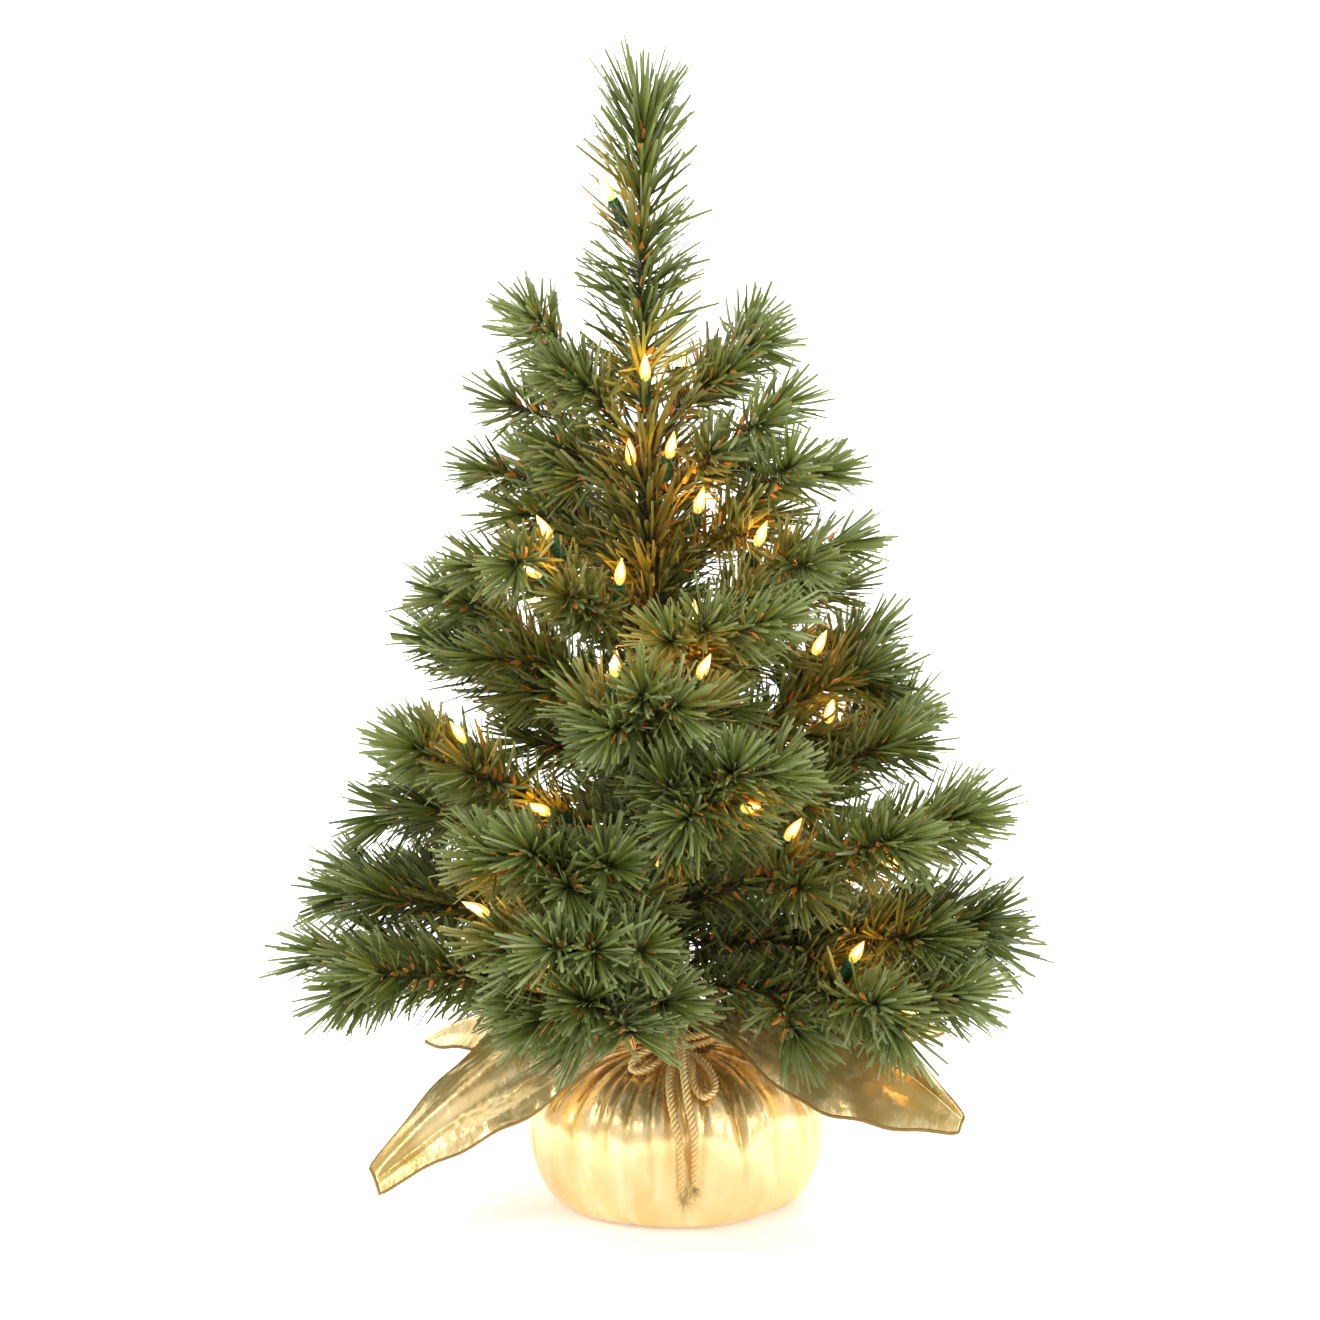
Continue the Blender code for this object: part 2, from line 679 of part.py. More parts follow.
def main():
    """Builds the whole tree."""
    clear_scene()
    black_plastic = finish_material("black_plastic", (0.03, 0.03, 0.03), 0.5)
    cement = finish_material("cement", (0.55, 0.54, 0.50), 0.9)
    steel = finish_material("steel", (0.45, 0.45, 0.46), 0.4, 1.0)
    gold_cloth = finish_material("gold_cloth", (0.90, 0.62, 0.22), 0.28, 1.0)
    gold_cord = finish_material("gold_cord", (0.75, 0.52, 0.20), 0.4, 1.0)
    brown_tape = finish_material("brown_tape", (0.16, 0.08, 0.04), 0.7)
    green_wire = finish_material("green_wire", (0.03, 0.12, 0.04), 0.5)
    needles = finish_material("green_needles", (0.10, 0.22, 0.06), 0.5)
    green_plastic = finish_material("green_plastic", (0.03, 0.14, 0.05), 0.4)
    bulb_glass = finish_material("bulb_glass", (1.0, 0.80, 0.45), 0.1)
    make_weight(black_plastic, cement, steel)
    make_bag(gold_cloth)
    make_tie(gold_cord)
    make_trunk(brown_tape, green_wire)
    make_leader(needles)
    make_branches(needles, green_plastic, bulb_glass)


main()
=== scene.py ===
"""Looks of a tabletop tree that stands in a tied gold cloth bag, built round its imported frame.

Metres, +Z up, +X to the right and -Y to the front. The origin is the centre of the bag's flat foot.
"""

from __future__ import annotations

import logging
import math
from dataclasses import dataclass, field, replace
from enum import Enum
from typing import Iterable, Optional, Sequence, Union

import bpy
import numpy as np
from mathutils import Matrix, Vector


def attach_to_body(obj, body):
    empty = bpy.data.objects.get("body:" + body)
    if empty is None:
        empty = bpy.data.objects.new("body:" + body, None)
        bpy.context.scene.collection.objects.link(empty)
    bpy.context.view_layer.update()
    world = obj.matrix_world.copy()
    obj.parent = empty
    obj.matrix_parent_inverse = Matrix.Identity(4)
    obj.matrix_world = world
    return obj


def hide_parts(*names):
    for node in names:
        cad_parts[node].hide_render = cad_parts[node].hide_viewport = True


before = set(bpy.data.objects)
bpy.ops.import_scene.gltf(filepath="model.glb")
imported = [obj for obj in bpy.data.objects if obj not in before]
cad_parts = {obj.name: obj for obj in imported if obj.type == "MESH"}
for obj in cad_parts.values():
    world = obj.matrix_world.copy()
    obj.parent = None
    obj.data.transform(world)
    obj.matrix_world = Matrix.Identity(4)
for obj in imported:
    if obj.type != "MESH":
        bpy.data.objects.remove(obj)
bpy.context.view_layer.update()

LOG = logging.getLogger("tree")
Colour = tuple[float, float, float]
Array = np.ndarray
Faces = list[tuple[int, ...]]
Form = tuple[Array, Faces]

# Sizes shared by several pieces.
GAP = 0.0003
LEAN = math.radians(2.3)
NECK_HEIGHT = 0.0865
PIVOT_RADIUS = 0.0076
ROOT_RADIUS = 0.0018
CORD_DIAMETER = 0.0045
CURL = 0.05
FORK = math.radians(33.0)
FORK_AT = 0.46
TWIG_SHARE = 0.44
GOLDEN_TURN = 2.39996
# The radius of a circle round three touching circles with a radius of 1.
THREE_ROUND = 2.1547
BAKE_MAP = "OFBake"
# The share of a tube's box in the bake map that its sides take; its caps lie above them.
SIDES_SHARE = 0.96
# Where the bands of a foliage piece's bake map start and end: needles, then scales, then wires.
NEEDLE_BAND = (0.0, 0.86)
SCALE_BAND = (0.865, 0.93)
WIRE_BAND_FROM = 0.935
PAINT = "paint"
BASE_BODY = "base_and_trunk"


class Side(Enum):
    """The sides of a forked branch."""

    LEFT = 1
    RIGHT = -1
    MIDDLE = 0


# ---------------------------------------------------------------- shader tools


class Signal:
    """A shader socket that Python's operators can work with."""

    def __init__(self, graph: "Graph", socket: bpy.types.NodeSocket) -> None:
        """Keeps the socket and the graph that it is in."""
        self.graph = graph
        self.socket = socket

    def _math(self, operation: str, first: "Term", second: "Term" = 0.0) -> "Signal":
        """One Math node on two terms."""
        return self.graph.node("ShaderNodeMath", {"operation": operation}, {0: first, 1: second})

    def __add__(self, other: "Term") -> "Signal":
        """Sum."""
        return self._math("ADD", self, other)

    def __radd__(self, other: "Term") -> "Signal":
        """Sum, with a number first."""
        return self._math("ADD", other, self)

    def __sub__(self, other: "Term") -> "Signal":
        """Difference."""
        return self._math("SUBTRACT", self, other)

    def __rsub__(self, other: "Term") -> "Signal":
        """Difference, with a number first."""
        return self._math("SUBTRACT", other, self)

    def __mul__(self, other: "Term") -> "Signal":
        """Product."""
        return self._math("MULTIPLY", self, other)

    def __rmul__(self, other: "Term") -> "Signal":
        """Product, with a number first."""
        return self._math("MULTIPLY", other, self)

    def __pow__(self, other: "Term") -> "Signal":
        """Power."""
        return self._math("POWER", self, other)

    def sine(self) -> "Signal":
        """Sine."""
        return self._math("SINE", self)

    def between(self, low: float, high: float) -> "Signal":
        """0 below low, 1 above high, and smooth in between."""
        inputs = {"Value": self, "From Min": low, "From Max": high}
        return self.graph.node("ShaderNodeMapRange", {"interpolation_type": "SMOOTHSTEP"}, inputs)


Term = Union[Signal, float, Sequence[float]]


class Graph:
    """The nodes of one material."""

    def __init__(self, name: str) -> None:
        """Makes a material with a Principled shader."""
        self.material = bpy.data.materials.new(name)
        self.material.use_nodes = True
        self.tree = self.material.node_tree
        self.shader = self.tree.nodes["Principled BSDF"]

    def put(self, socket: bpy.types.NodeSocket, value: Term) -> None:
        """Sets a socket to a number or a colour, or links a signal to it."""
        if isinstance(value, Signal):
            self.tree.links.new(value.socket, socket)
        elif isinstance(value, (int, float)) or len(value) != 3 or socket.type == "VECTOR":
            socket.default_value = value
        else:
            socket.default_value = (*value, 1.0)

    def set(self, name: str, value: Term) -> None:
        """Sets one of the shader's own inputs, or links a signal to it."""
        self.put(self.shader.inputs[name], value)

    def node(self, kind: str, settings: dict, inputs: dict, output: Union[int, str] = 0) -> Signal:
        """Adds any node.

        Args:
            kind: the node's type.
            settings: its properties, which are set first.
            inputs: values or signals for its sockets, by name or index.
            output: which of its outputs to return.

        Returns:
            The output as a signal.
        """
        made = self.tree.nodes.new(kind)
        for key, value in settings.items():
            setattr(made, key, value)
        for key, value in inputs.items():
            self.put(made.inputs[key], value)
        return Signal(self, made.outputs[output])

    def mix(self, mask: Term, first: Term, second: Term, blend: str = "MIX") -> Signal:
        """Mixes two colours by a mask."""
        inputs = {0: mask, 6: first, 7: second}
        return self.node("ShaderNodeMix", {"data_type": "RGBA", "blend_type": blend}, inputs, 2)

    def place(self) -> Signal:
        """The object's own coordinates."""
        return self.node("ShaderNodeTexCoord", {}, {}, "Object")

    def noise(
        self, scale: float, detail: float = 3.0, stretch: Optional[Sequence[float]] = None
    ) -> Signal:
        """Fractal noise from 0 to 1, at a scale in features per metre.

        Args:
            scale: how many features there are in a metre.
            detail: the number of octaves.
            stretch: scales the coordinates along each axis first.

        Returns:
            The noise as a signal.
        """
        where = self.place()
        if stretch is not None:
            inputs = {0: where, 1: stretch}
            where = self.node("ShaderNodeVectorMath", {"operation": "MULTIPLY"}, inputs)
        inputs = {"Vector": where, "Scale": scale, "Detail": detail}
        return self.node("ShaderNodeTexNoise", {}, inputs)

    def axis(self, index: int) -> Signal:
        """One of the object's coordinates, in metres."""
        return self.node("ShaderNodeSeparateXYZ", {}, {0: self.place()}, index)

    def turn(self) -> Signal:
        """The angle about the object's Z axis, in radians."""
        inputs = {0: self.axis(1), 1: self.axis(0)}
        return self.node("ShaderNodeMath", {"operation": "ARCTAN2"}, inputs)

    def paint(self) -> Signal:
        """What is painted at the mesh's points, as a colour."""
        return self.node("ShaderNodeAttribute", {"attribute_name": PAINT}, {}, "Color")

    def channel(self, colour: Signal, index: int) -> Signal:
        """One channel of a colour."""
        return self.node("ShaderNodeSeparateColor", {}, {0: colour}, index)

    def bump(self, height: Signal, strength: float, distance: float) -> None:
        """Bends the shader's normal by a height."""
        inputs = {"Height": height, "Strength": strength, "Distance": distance}
        self.set("Normal", self.node("ShaderNodeBump", {}, inputs))


def scaled(colour: Colour, factor: float) -> Colour:
    """A colour times a factor."""
    return tuple(factor * part for part in colour)


@dataclass(frozen=True)
class Finish:
    """A surface finish. Its subclasses add what varies over the surface."""

    name: str
    colour: Colour
    roughness: float = 0.5
    metallic: float = 0.0
    grain: float = 900.0
    bump: float = 0.15

    def make(self) -> bpy.types.Material:
        """The finish's material, which is made once."""
        found = bpy.data.materials.get(self.name)
        if found is not None:
            return found
        graph = Graph(self.name)
        graph.set("Base Color", self.colour)
        graph.set("Roughness", self.roughness)
        graph.set("Metallic", self.metallic)
        self.dress(graph)
        graph.material.diffuse_color = (*self.colour, 1.0)
        return graph.material

    def dress(self, graph: Graph) -> None:
        """Plain moulded or worn stuff: mottled colour, uneven gloss and a fine grain."""
        mottle = graph.noise(self.grain / 12)
        grain = graph.noise(self.grain, 4.0)
        dark = scaled(self.colour, 0.72)
        graph.set("Base Color", graph.mix(mottle.between(0.3, 0.7), dark, self.colour))
        graph.set("Roughness", self.roughness - 0.08 + 0.16 * grain)
        graph.bump(grain, self.bump, 0.0004)


@dataclass(frozen=True)
class NeedleFinish(Finish):
    """Slit plastic film: each needle has its own green, paler at its tip as a painted highlight and
    darker at its root as painted shade, with faint lines and a painted lamp glow near lit bulbs.
    """

    # dark is the darkest random tone and also the painted shade at each needle's root; pale is the
    # palest random tone and also the painted highlight towards its tip.
    dark: Colour = (0.038, 0.056, 0.012)
    pale: Colour = (0.36, 0.41, 0.20)
    # warm is the amber of a painted lamp glow on needles near a lit bulb.
    warm: Colour = (0.34, 0.22, 0.02)

    def dress(self, graph: Graph) -> None:
        """Reads each needle's tone, its place along itself and how much painted lamp glow it takes
        from the mesh.
        """
        paint = graph.paint()
        tone, along, painted_glow = (graph.channel(paint, index) for index in range(3))
        body = graph.mix(tone.between(0.0, 0.62), self.dark, self.colour)
        body = graph.mix(tone.between(0.66, 1.0) * 0.6, body, self.pale)
        # Painted highlight: the needle grows paler towards its tip. Painted shade: it grows darker
        # towards its root.
        with_tip_highlight = graph.mix(along.between(0.55, 1.0) * 0.30, body, self.pale)
        with_root_shade = graph.mix(1.0 - along.between(0.0, 0.35), with_tip_highlight, self.dark)
        # Painted lamp glow: amber is mixed in where a lit bulb is near.
        graph.set("Base Color", graph.mix(painted_glow * 0.85, with_root_shade, self.warm))
        graph.set("Specular IOR Level", 0.32)
        lines = graph.noise(2600.0, 2.0)
        graph.set("Roughness", self.roughness - 0.1 + 0.2 * lines)
        graph.bump(lines, 0.12, 0.0002)


@dataclass(frozen=True)
class LameFinish(Finish):
    """Metallic gold cloth: a fine weave, streaks of brighter foil and soft creases, and a darker
    colour painted where the mesh's paint asks for it: painted shade in the pouch's crease valleys and
    painted dark reflections on the corners.
    """

    pale: Colour = (1.0, 0.90, 0.62)
    deep: Colour = (0.88, 0.62, 0.26)
    # shade is the darker colour of the painted shade and painted dark reflections.
    shade: Optional[Colour] = None
    weave: float = 2600.0

    def dress(self, graph: Graph) -> None:
        """A weave of crossing threads over cloudy foil, with creases that run up and down."""
        weave = graph.noise(self.weave, 2.0)
        cloud = graph.noise(34.0, 4.0, (1.0, 1.0, 0.55))
        crease = graph.noise(120.0, 5.0, (1.0, 1.0, 0.16))
        base = graph.mix(cloud.between(0.25, 0.6), self.deep, self.colour)
        base = graph.mix(crease.between(0.45, 0.8) * 0.6, base, self.pale)
        # The paint's first channel mixes in the darker colour: painted shade in the pouch's creases,
        # painted dark reflections on the corners.
        if self.shade is not None:
            base = graph.mix(graph.channel(graph.paint(), 0), base, self.shade)
        graph.set("Base Color", base)
        graph.set("Roughness", self.roughness + 0.16 * crease - 0.08 + 0.05 * weave)
        bent = graph.noise(26.0, 2.0, (1.0, 1.0, 0.5)) * 0.05
        inputs = {0: graph.place(), 1: bent}
        where = graph.node("ShaderNodeVectorMath", {"operation": "ADD"}, inputs)
        inputs = {"Vector": where, "Scale": 46.0}
        facets = graph.node("ShaderNodeTexVoronoi", {"feature": "SMOOTH_F1"}, inputs)
        relief = crease * 0.9 + cloud * 0.5 + facets * 0.8 + weave * 0.03
        graph.bump(relief, self.bump, 0.0022)


@dataclass(frozen=True)
class ThreadFinish(Finish):
    """Twisted metallic yarn: fine slanting filaments with glints."""

    def dress(self, graph: Graph) -> None:
        """Fine filaments, darker between them."""
        strands = graph.noise(3200.0, 3.0, (1.0, 1.0, 0.35))
        dark = scaled(self.colour, 0.55)
        graph.set("Base Color", graph.mix(strands.between(0.3, 0.66), dark, self.colour))
        graph.set("Roughness", self.roughness - 0.1 + 0.25 * strands)
        graph.bump(strands, self.bump, 0.0006)


@dataclass(frozen=True)
class TapeFinish(Finish):
    """Crepe tape wound round the trunk in a spiral."""

    pitch: float = 0.011

    def dress(self, graph: Graph) -> None:
        """Overlapping turns with a fine crinkle across them."""
        turns = graph.axis(2) * (math.tau / self.pitch) + graph.turn()
        edge = turns.sine().between(0.55, 1.0)
        crinkle = graph.noise(1500.0, 3.0, (1.0, 1.0, 0.3))
        dark = scaled(self.colour, 0.5)
        base = graph.mix(edge, self.colour, dark)
        graph.set("Base Color", graph.mix(crinkle * 0.5, base, dark))
        graph.set("Roughness", self.roughness - 0.1 + 0.2 * crinkle)
        graph.bump(edge * -1.0 + crinkle * 0.4, self.bump, 0.0008)


@dataclass(frozen=True)
class GlassFinish(Finish):
    """A small clear bulb, tinted by the filament inside it."""

    glow: Colour = (1.0, 0.44, 0.09)
    strength: float = 2.2

    def dress(self, graph: Graph) -> None:
        """Clear glass that carries a warm glow, with faint moulding lines."""
        graph.set("Transmission Weight", 0.84)
        graph.set("IOR", 1.42)
        graph.set("Emission Strength", self.strength)
        swirl = graph.noise(700.0, 2.0)
        deep = (self.glow[0], self.glow[1] * 0.6, self.glow[2] * 0.3)
        graph.set("Emission Color", graph.mix(swirl.between(0.3, 0.7), deep, self.glow))
        graph.set("Roughness", self.roughness + 0.04 * swirl)
        graph.bump(swirl, 0.08, 0.0002)


@dataclass(frozen=True)
class GlowFinish(Finish):
    """The white-hot heart of a lit bulb."""

    strength: float = 14.0

    def dress(self, graph: Graph) -> None:
        """Even light with a slightly uneven colour."""
        flicker = graph.noise(900.0, 2.0)
        amber = (self.colour[0], self.colour[1] * 0.8, self.colour[2] * 0.55)
        graph.set("Emission Color", graph.mix(flicker.between(0.3, 0.7), amber, self.colour))
        graph.set("Emission Strength", self.strength)


@dataclass(frozen=True)
class PaperFinish(Finish):
    """White paper that is lit from behind as well."""

    backlight: float = 0.30

    def dress(self, graph: Graph) -> None:
        """Even white with the faintest tooth, and a faint light of its own."""
        tooth = graph.noise(self.grain)
        shadow = scaled(self.colour, 0.985)
        graph.set("Base Color", graph.mix(tooth, shadow, self.colour))
        graph.set("Roughness", self.roughness - 0.02 + 0.04 * tooth)
        graph.bump(tooth, self.bump, 0.0004)
        graph.set("Emission Color", self.colour)
        graph.set("Emission Strength", self.backlight)


NEEDLES = NeedleFinish("needle_film", (0.152, 0.188, 0.028), 0.42)
SCALES = Finish("bud_scales", (0.98, 0.37, 0.060), 0.5)
TWISTED_WIRE = Finish("twisted_wire", (0.20, 0.085, 0.030), 0.5, 0.0, 1600.0)
LEAD_WIRE = Finish("lead_wire", (0.012, 0.050, 0.018), 0.38, 0.0, 700.0)
HOLDER = Finish("lamp_holder_plastic", (0.010, 0.075, 0.028), 0.34, 0.0, 1200.0)
GLASS = GlassFinish("bulb_clear_glass", (1.0, 0.74, 0.40), 0.04)
GLOW = GlowFinish("bulb_glow", (1.0, 0.83, 0.50), 0.4)
FILAMENT_POST = Finish("filament_posts", (0.45, 0.42, 0.38), 0.3, 1.0)
# The shade colours are painted: into the pouch's crease valleys as painted shade, and onto patches of
# the corners as painted dark reflections.
POUCH_CLOTH = LameFinish(
    "gold_lame_pouch", (0.97, 0.73, 0.36), 0.25, 0.84, bump=0.5, shade=(0.66, 0.41, 0.11)
)
CORNER_CLOTH = LameFinish(
    "gold_lame_corners", (1.0, 0.77, 0.38), 0.23, 0.84, bump=0.5, shade=(0.70, 0.49, 0.17)
)
HEM_THREAD = ThreadFinish("hem_thread", (0.42, 0.26, 0.07), 0.45, 0.5, bump=0.5)
CORD_YARN = ThreadFinish("cord_yarn", (0.97, 0.70, 0.29), 0.30, 0.62, bump=0.4)
TRUNK_TAPE = TapeFinish("trunk_crepe_tape", (0.070, 0.040, 0.020), 0.75, bump=0.8)
ROD_STEEL = Finish("rod_steel", (0.42, 0.42, 0.43), 0.38, 1.0, 1500.0, 0.1)
CEMENT = Finish("grey_cement", (0.46, 0.45, 0.42), 0.88, 0.0, 420.0, 0.6)
TUB_PLASTIC = Finish("tub_plastic", (0.022, 0.022, 0.023), 0.45, 0.0, 900.0)
PAPER_FLOOR = PaperFinish("paper_floor", (0.90, 0.90, 0.90), 0.8, 0.0, 900.0, 0.02)


# ---------------------------------------------------------------- mesh tools


@dataclass
class Shape:
    """Faces gathered from many small forms, to become one mesh."""

    points: list[Array] = field(default_factory=list)
    faces: list[tuple[int, ...]] = field(default_factory=list)
    slots: list[int] = field(default_factory=list)
    smooth: list[bool] = field(default_factory=list)
    paints: list[Array] = field(default_factory=list)
    maps: list[Array] = field(default_factory=list)
    count: int = 0

    def add(
        self,
        points: Array,
        faces: Iterable[Sequence[int]],
        slot: int = 0,
        smooth: bool = True,
        paint: Optional[Array] = None,
        corners: Optional[Array] = None,
    ) -> None:
        """Adds a form.

        Args:
            points: its points, n by 3.
            faces: its faces, as indices into the points.
            slot: which material it takes.
            smooth: whether its faces are shaded smoothly.
            paint: the colour painted at each point, n by 3.
            corners: the bake map's place for each face corner.
        """
        faces = [tuple(int(index) + self.count for index in face) for face in faces]
        self.points.append(np.asarray(points, float))
        self.faces += faces
        self.slots += [slot] * len(faces)
        self.smooth += [smooth] * len(faces)
        self.paints.append(np.zeros((len(points), 3)) if paint is None else paint)
        total = sum(len(face) for face in faces)
        self.maps.append(np.zeros((total, 2)) if corners is None else corners)
        self.count += len(points)

    def build(
        self, name: str, finishes: Sequence[Finish], mapped: bool = False, painted: bool = False
    ) -> bpy.types.Object:
        """Makes the object.

        Args:
            name: the piece's name.
            finishes: one finish for each slot.
            mapped: whether the form carries its own bake map.
            painted: whether it carries paint at its points.

        Returns:
            The new object, linked into the scene.
        """
        mesh = bpy.data.meshes.new(name)
        mesh.from_pydata(np.concatenate(self.points).tolist(), [], self.faces)
        mesh.polygons.foreach_set("material_index", self.slots)
        mesh.polygons.foreach_set("use_smooth", self.smooth)
        if mapped:
            layer = mesh.uv_layers.new(name=BAKE_MAP, do_init=False)
            layer.uv.foreach_set("vector", np.concatenate(self.maps).astype(np.float32).ravel())
        if painted:
            colours = np.c_[np.concatenate(self.paints), np.ones(self.count)]
            layer = mesh.color_attributes.new(PAINT, "FLOAT_COLOR", "POINT")
            layer.data.foreach_set("color", colours.astype(np.float32).ravel())
        mesh.update()
        item = bpy.data.objects.new(name, mesh)
        bpy.context.scene.collection.objects.link(item)
        for finish in finishes:
            mesh.materials.append(finish.make())
        return item


def unit(vectors: Array) -> Array:
    """Vectors scaled to a length of 1."""
    return vectors / np.maximum(np.linalg.norm(vectors, axis=-1, keepdims=True), 1e-12)


def directions(path: Array) -> Array:
    """The heading at each point of a path."""
    return unit(np.gradient(path, axis=0))


def side_frames(path: Array) -> tuple[Array, Array, Array]:
    """Headings and two side vectors along a path, carried along it without twist.

    Args:
        path: its points, n by 3.

    Returns:
        The headings, the first sides and the second sides.
    """
    ahead = directions(path)
    seed = np.array([0.0, 0.0, 1.0]) if abs(ahead[0, 2]) < 0.9 else np.array([0.0, 1.0, 0.0])
    first = np.zeros_like(path)
    current = unit(seed - ahead[0] * seed.dot(ahead[0]))
    for index, heading in enumerate(ahead):
        current = unit(current - heading * current.dot(heading))
        first[index] = current
    return ahead, first, np.cross(ahead, first)


def tube_faces(rings: int, sides: int) -> Faces:
    """The faces of a tube of rings, with a cap at each end."""
    faces: Faces = []
    for near in range(0, (rings - 1) * sides, sides):
        far = near + sides
        for side in range(sides):
            following = (side + 1) % sides
            faces.append((near + side, near + following, far + following, far + side))
    faces.append(tuple(range(sides))[::-1])
    faces.append(tuple((rings - 1) * sides + side for side in range(sides)))
    return faces


def tube(path: Array, radii: Union[float, Array], sides: int, flat: float = 1.0) -> Form:
    """A tube along a path.

    Args:
        path: its centre line.
        radii: one radius, or one for each point.
        sides: how many sides it has.
        flat: how much thinner it is along its second side.

    Returns:
        Its points and faces.
    """
    _, first, second = side_frames(path)
    radii = np.broadcast_to(np.asarray(radii, float), len(path))
    turns = np.arange(sides)[None, :, None] * math.tau / sides
    ring = np.cos(turns) * first[:, None] + flat * np.sin(turns) * second[:, None]
    points = path[:, None] + ring * radii[:, None, None]
    return points.reshape(-1, 3), tube_faces(len(path), sides)


def tube_map(rings: int, sides: int, low: Sequence[float], high: Sequence[float]) -> Array:
    """Bake-map corners for a capped tube, laid out in one box of the map.

    Args:
        rings: how many rings the tube has.
        sides: how many sides it has.
        low: the box's lower left corner.
        high: the box's upper right corner.

    Returns:
        One place for each face corner, first the sides' and then the caps'.
    """
    corners = []
    across, along = high[0] - low[0], high[1] - low[1]
    for ring in range(rings - 1):
        near = low[1] + along * SIDES_SHARE * ring / (rings - 1)
        far = low[1] + along * SIDES_SHARE * (ring + 1) / (rings - 1)
        for side in range(sides):
            left, right = low[0] + across * side / sides, low[0] + across * (side + 1) / sides
            corners += [(left, near), (right, near), (right, far), (left, far)]
    for cap in range(2):
        middle = (low[0] + across * (0.25 + 0.5 * cap), low[1] + along * 0.98)
        for side in range(sides):
            turn = math.tau * side / sides
            over, up = across * 0.2 * math.cos(turn), along * 0.018 * math.sin(turn)
            corners.append((middle[0] + over, middle[1] + up))
    return np.array(corners)


def helix(path: Array, radius: float, pitch: float, phase: float, step: float) -> Array:
    """A line that winds round a path.

    Args:
        path: the path it winds round.
        radius: how far from the path it runs.
        pitch: the length of one turn.
        phase: where it starts, in radians.
        step: the distance between its points along the path.

    Returns:
        The line's points.
    """
    path = resampled(path, step)
    _, first, second = side_frames(path)
    turn = phase + math.tau * distances(path) / pitch
    return path + radius * (np.cos(turn)[:, None] * first + np.sin(turn)[:, None] * second)


def distances(path: Array) -> Array:
    """The distance along a path at each of its points."""
    return np.r_[0.0, np.cumsum(np.linalg.norm(np.diff(path, axis=0), axis=1))]


def sampled(values: Array, along: Array, where: Array) -> Array:
    """Vectors that are known along a path, read off at other distances along it."""
    return np.stack([np.interp(where, along, values[:, axis]) for axis in range(3)], 1)


def resampled(path: Array, step: float) -> Array:
    """A path's points about a step apart."""
    along = distances(path)
    count = max(3, int(round(along[-1] / step)) + 1)
    return sampled(path, along, np.linspace(0.0, along[-1], count))


def smooth_route(points: Sequence[Sequence[float]], step: float) -> Array:
    """Points about a step apart on a smooth curve through a route's own points."""
    given = np.asarray(points, float)
    ends = np.vstack([given[0] * 2 - given[1], given, given[-1] * 2 - given[-2]])
    dense = []
    for first, second, third, fourth in zip(ends, ends[1:], ends[2:], ends[3:]):
        for share in np.arange(16) / 16:
            linear = third - first
            square = first * 2 - second * 5 + third * 4 - fourth
            cube = second * 3 - first - third * 3 + fourth
            dense.append((second * 2 + linear * share + square * share**2 + cube * share**3) / 2)
    dense.append(given[-1])
    return resampled(np.array(dense), step)


def lathe(profile: Sequence[Sequence[float]], sides: int) -> Form:
    """A solid of revolution about Z, from an open outline whose ends lie on the axis."""
    profile = np.asarray(profile, float)
    turns = np.arange(sides) * math.tau / sides
    points = [
        np.stack([radius * np.cos(turns), radius * np.sin(turns), np.full(sides, height)], 1)
        for radius, height in np.maximum(profile, [1e-5, -9.0])
    ]
    return np.concatenate(points), [face[::-1] for face in tube_faces(len(profile), sides)]


def placed(points: Array, matrix: Matrix) -> Array:
    """Points moved by a matrix."""
    grid = np.array(matrix)
    return points @ grid[:3, :3].T + grid[:3, 3]


def add_placed(shape: Shape, form: Form, matrix: Matrix, slot: int) -> None:
    """Adds a form to a shape, moved by a matrix."""
    points, faces = form
    shape.add(placed(points, matrix), faces, slot)


def attach(piece: bpy.types.Object, body: str, node: Optional[str] = None) -> None:
    """Sets a piece riding on a body, and in place of a CAD node where there is one."""
    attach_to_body(piece, body)
    if node is not None:
        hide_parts(node)


def about(noise: np.random.Generator, value: float, spread: float, count: int) -> Array:
    """Random values about one value."""
    return value + spread * (noise.random(count) * 2 - 1)


# ---------------------------------------------------------------- needles and wire


@dataclass
class NeedleForm:
    """One kind of flat strip: needles, or the short scales at their roots."""

    length: float
    width: float
    thickness: float
    slot: int
    stations: tuple[float, ...] = (0.0, 0.5, 1.0)
    taper: tuple[float, ...] = (0.6, 1.0, 0.6)
    edges: tuple[float, ...] = (0.0, 0.46, 0.73, 1.0)

    def template(self) -> Form:
        """The faces of one strip, and their corners' places in its own cell of the bake map."""
        faces, corners = [], []
        last = len(self.stations) - 1
        for station in range(last):
            near, far = station * 3, station * 3 + 3
            low, high = self.stations[station], self.stations[station + 1]
            for side in range(3):
                other = (side + 1) % 3
                faces.append((near + side, near + other, far + other, far + side))
                left, right = self.edges[side], self.edges[side + 1]
                corners += [(left, low), (right, low), (right, high), (left, high)]
        faces += [(0, 2, 1), (last * 3, last * 3 + 1, last * 3 + 2)]
        corners += [(0.1, 0.0), (0.2, 0.02), (0.3, 0.0), (0.1, 1.0), (0.2, 0.98), (0.3, 1.0)]
        return faces, np.array(corners)


NEEDLE = NeedleForm(0.0300, 0.0021, 0.00034, 0)
SCALE = NeedleForm(0.0070, 0.0029, 0.0007, 2, taper=(0.8, 1.0, 0.35))


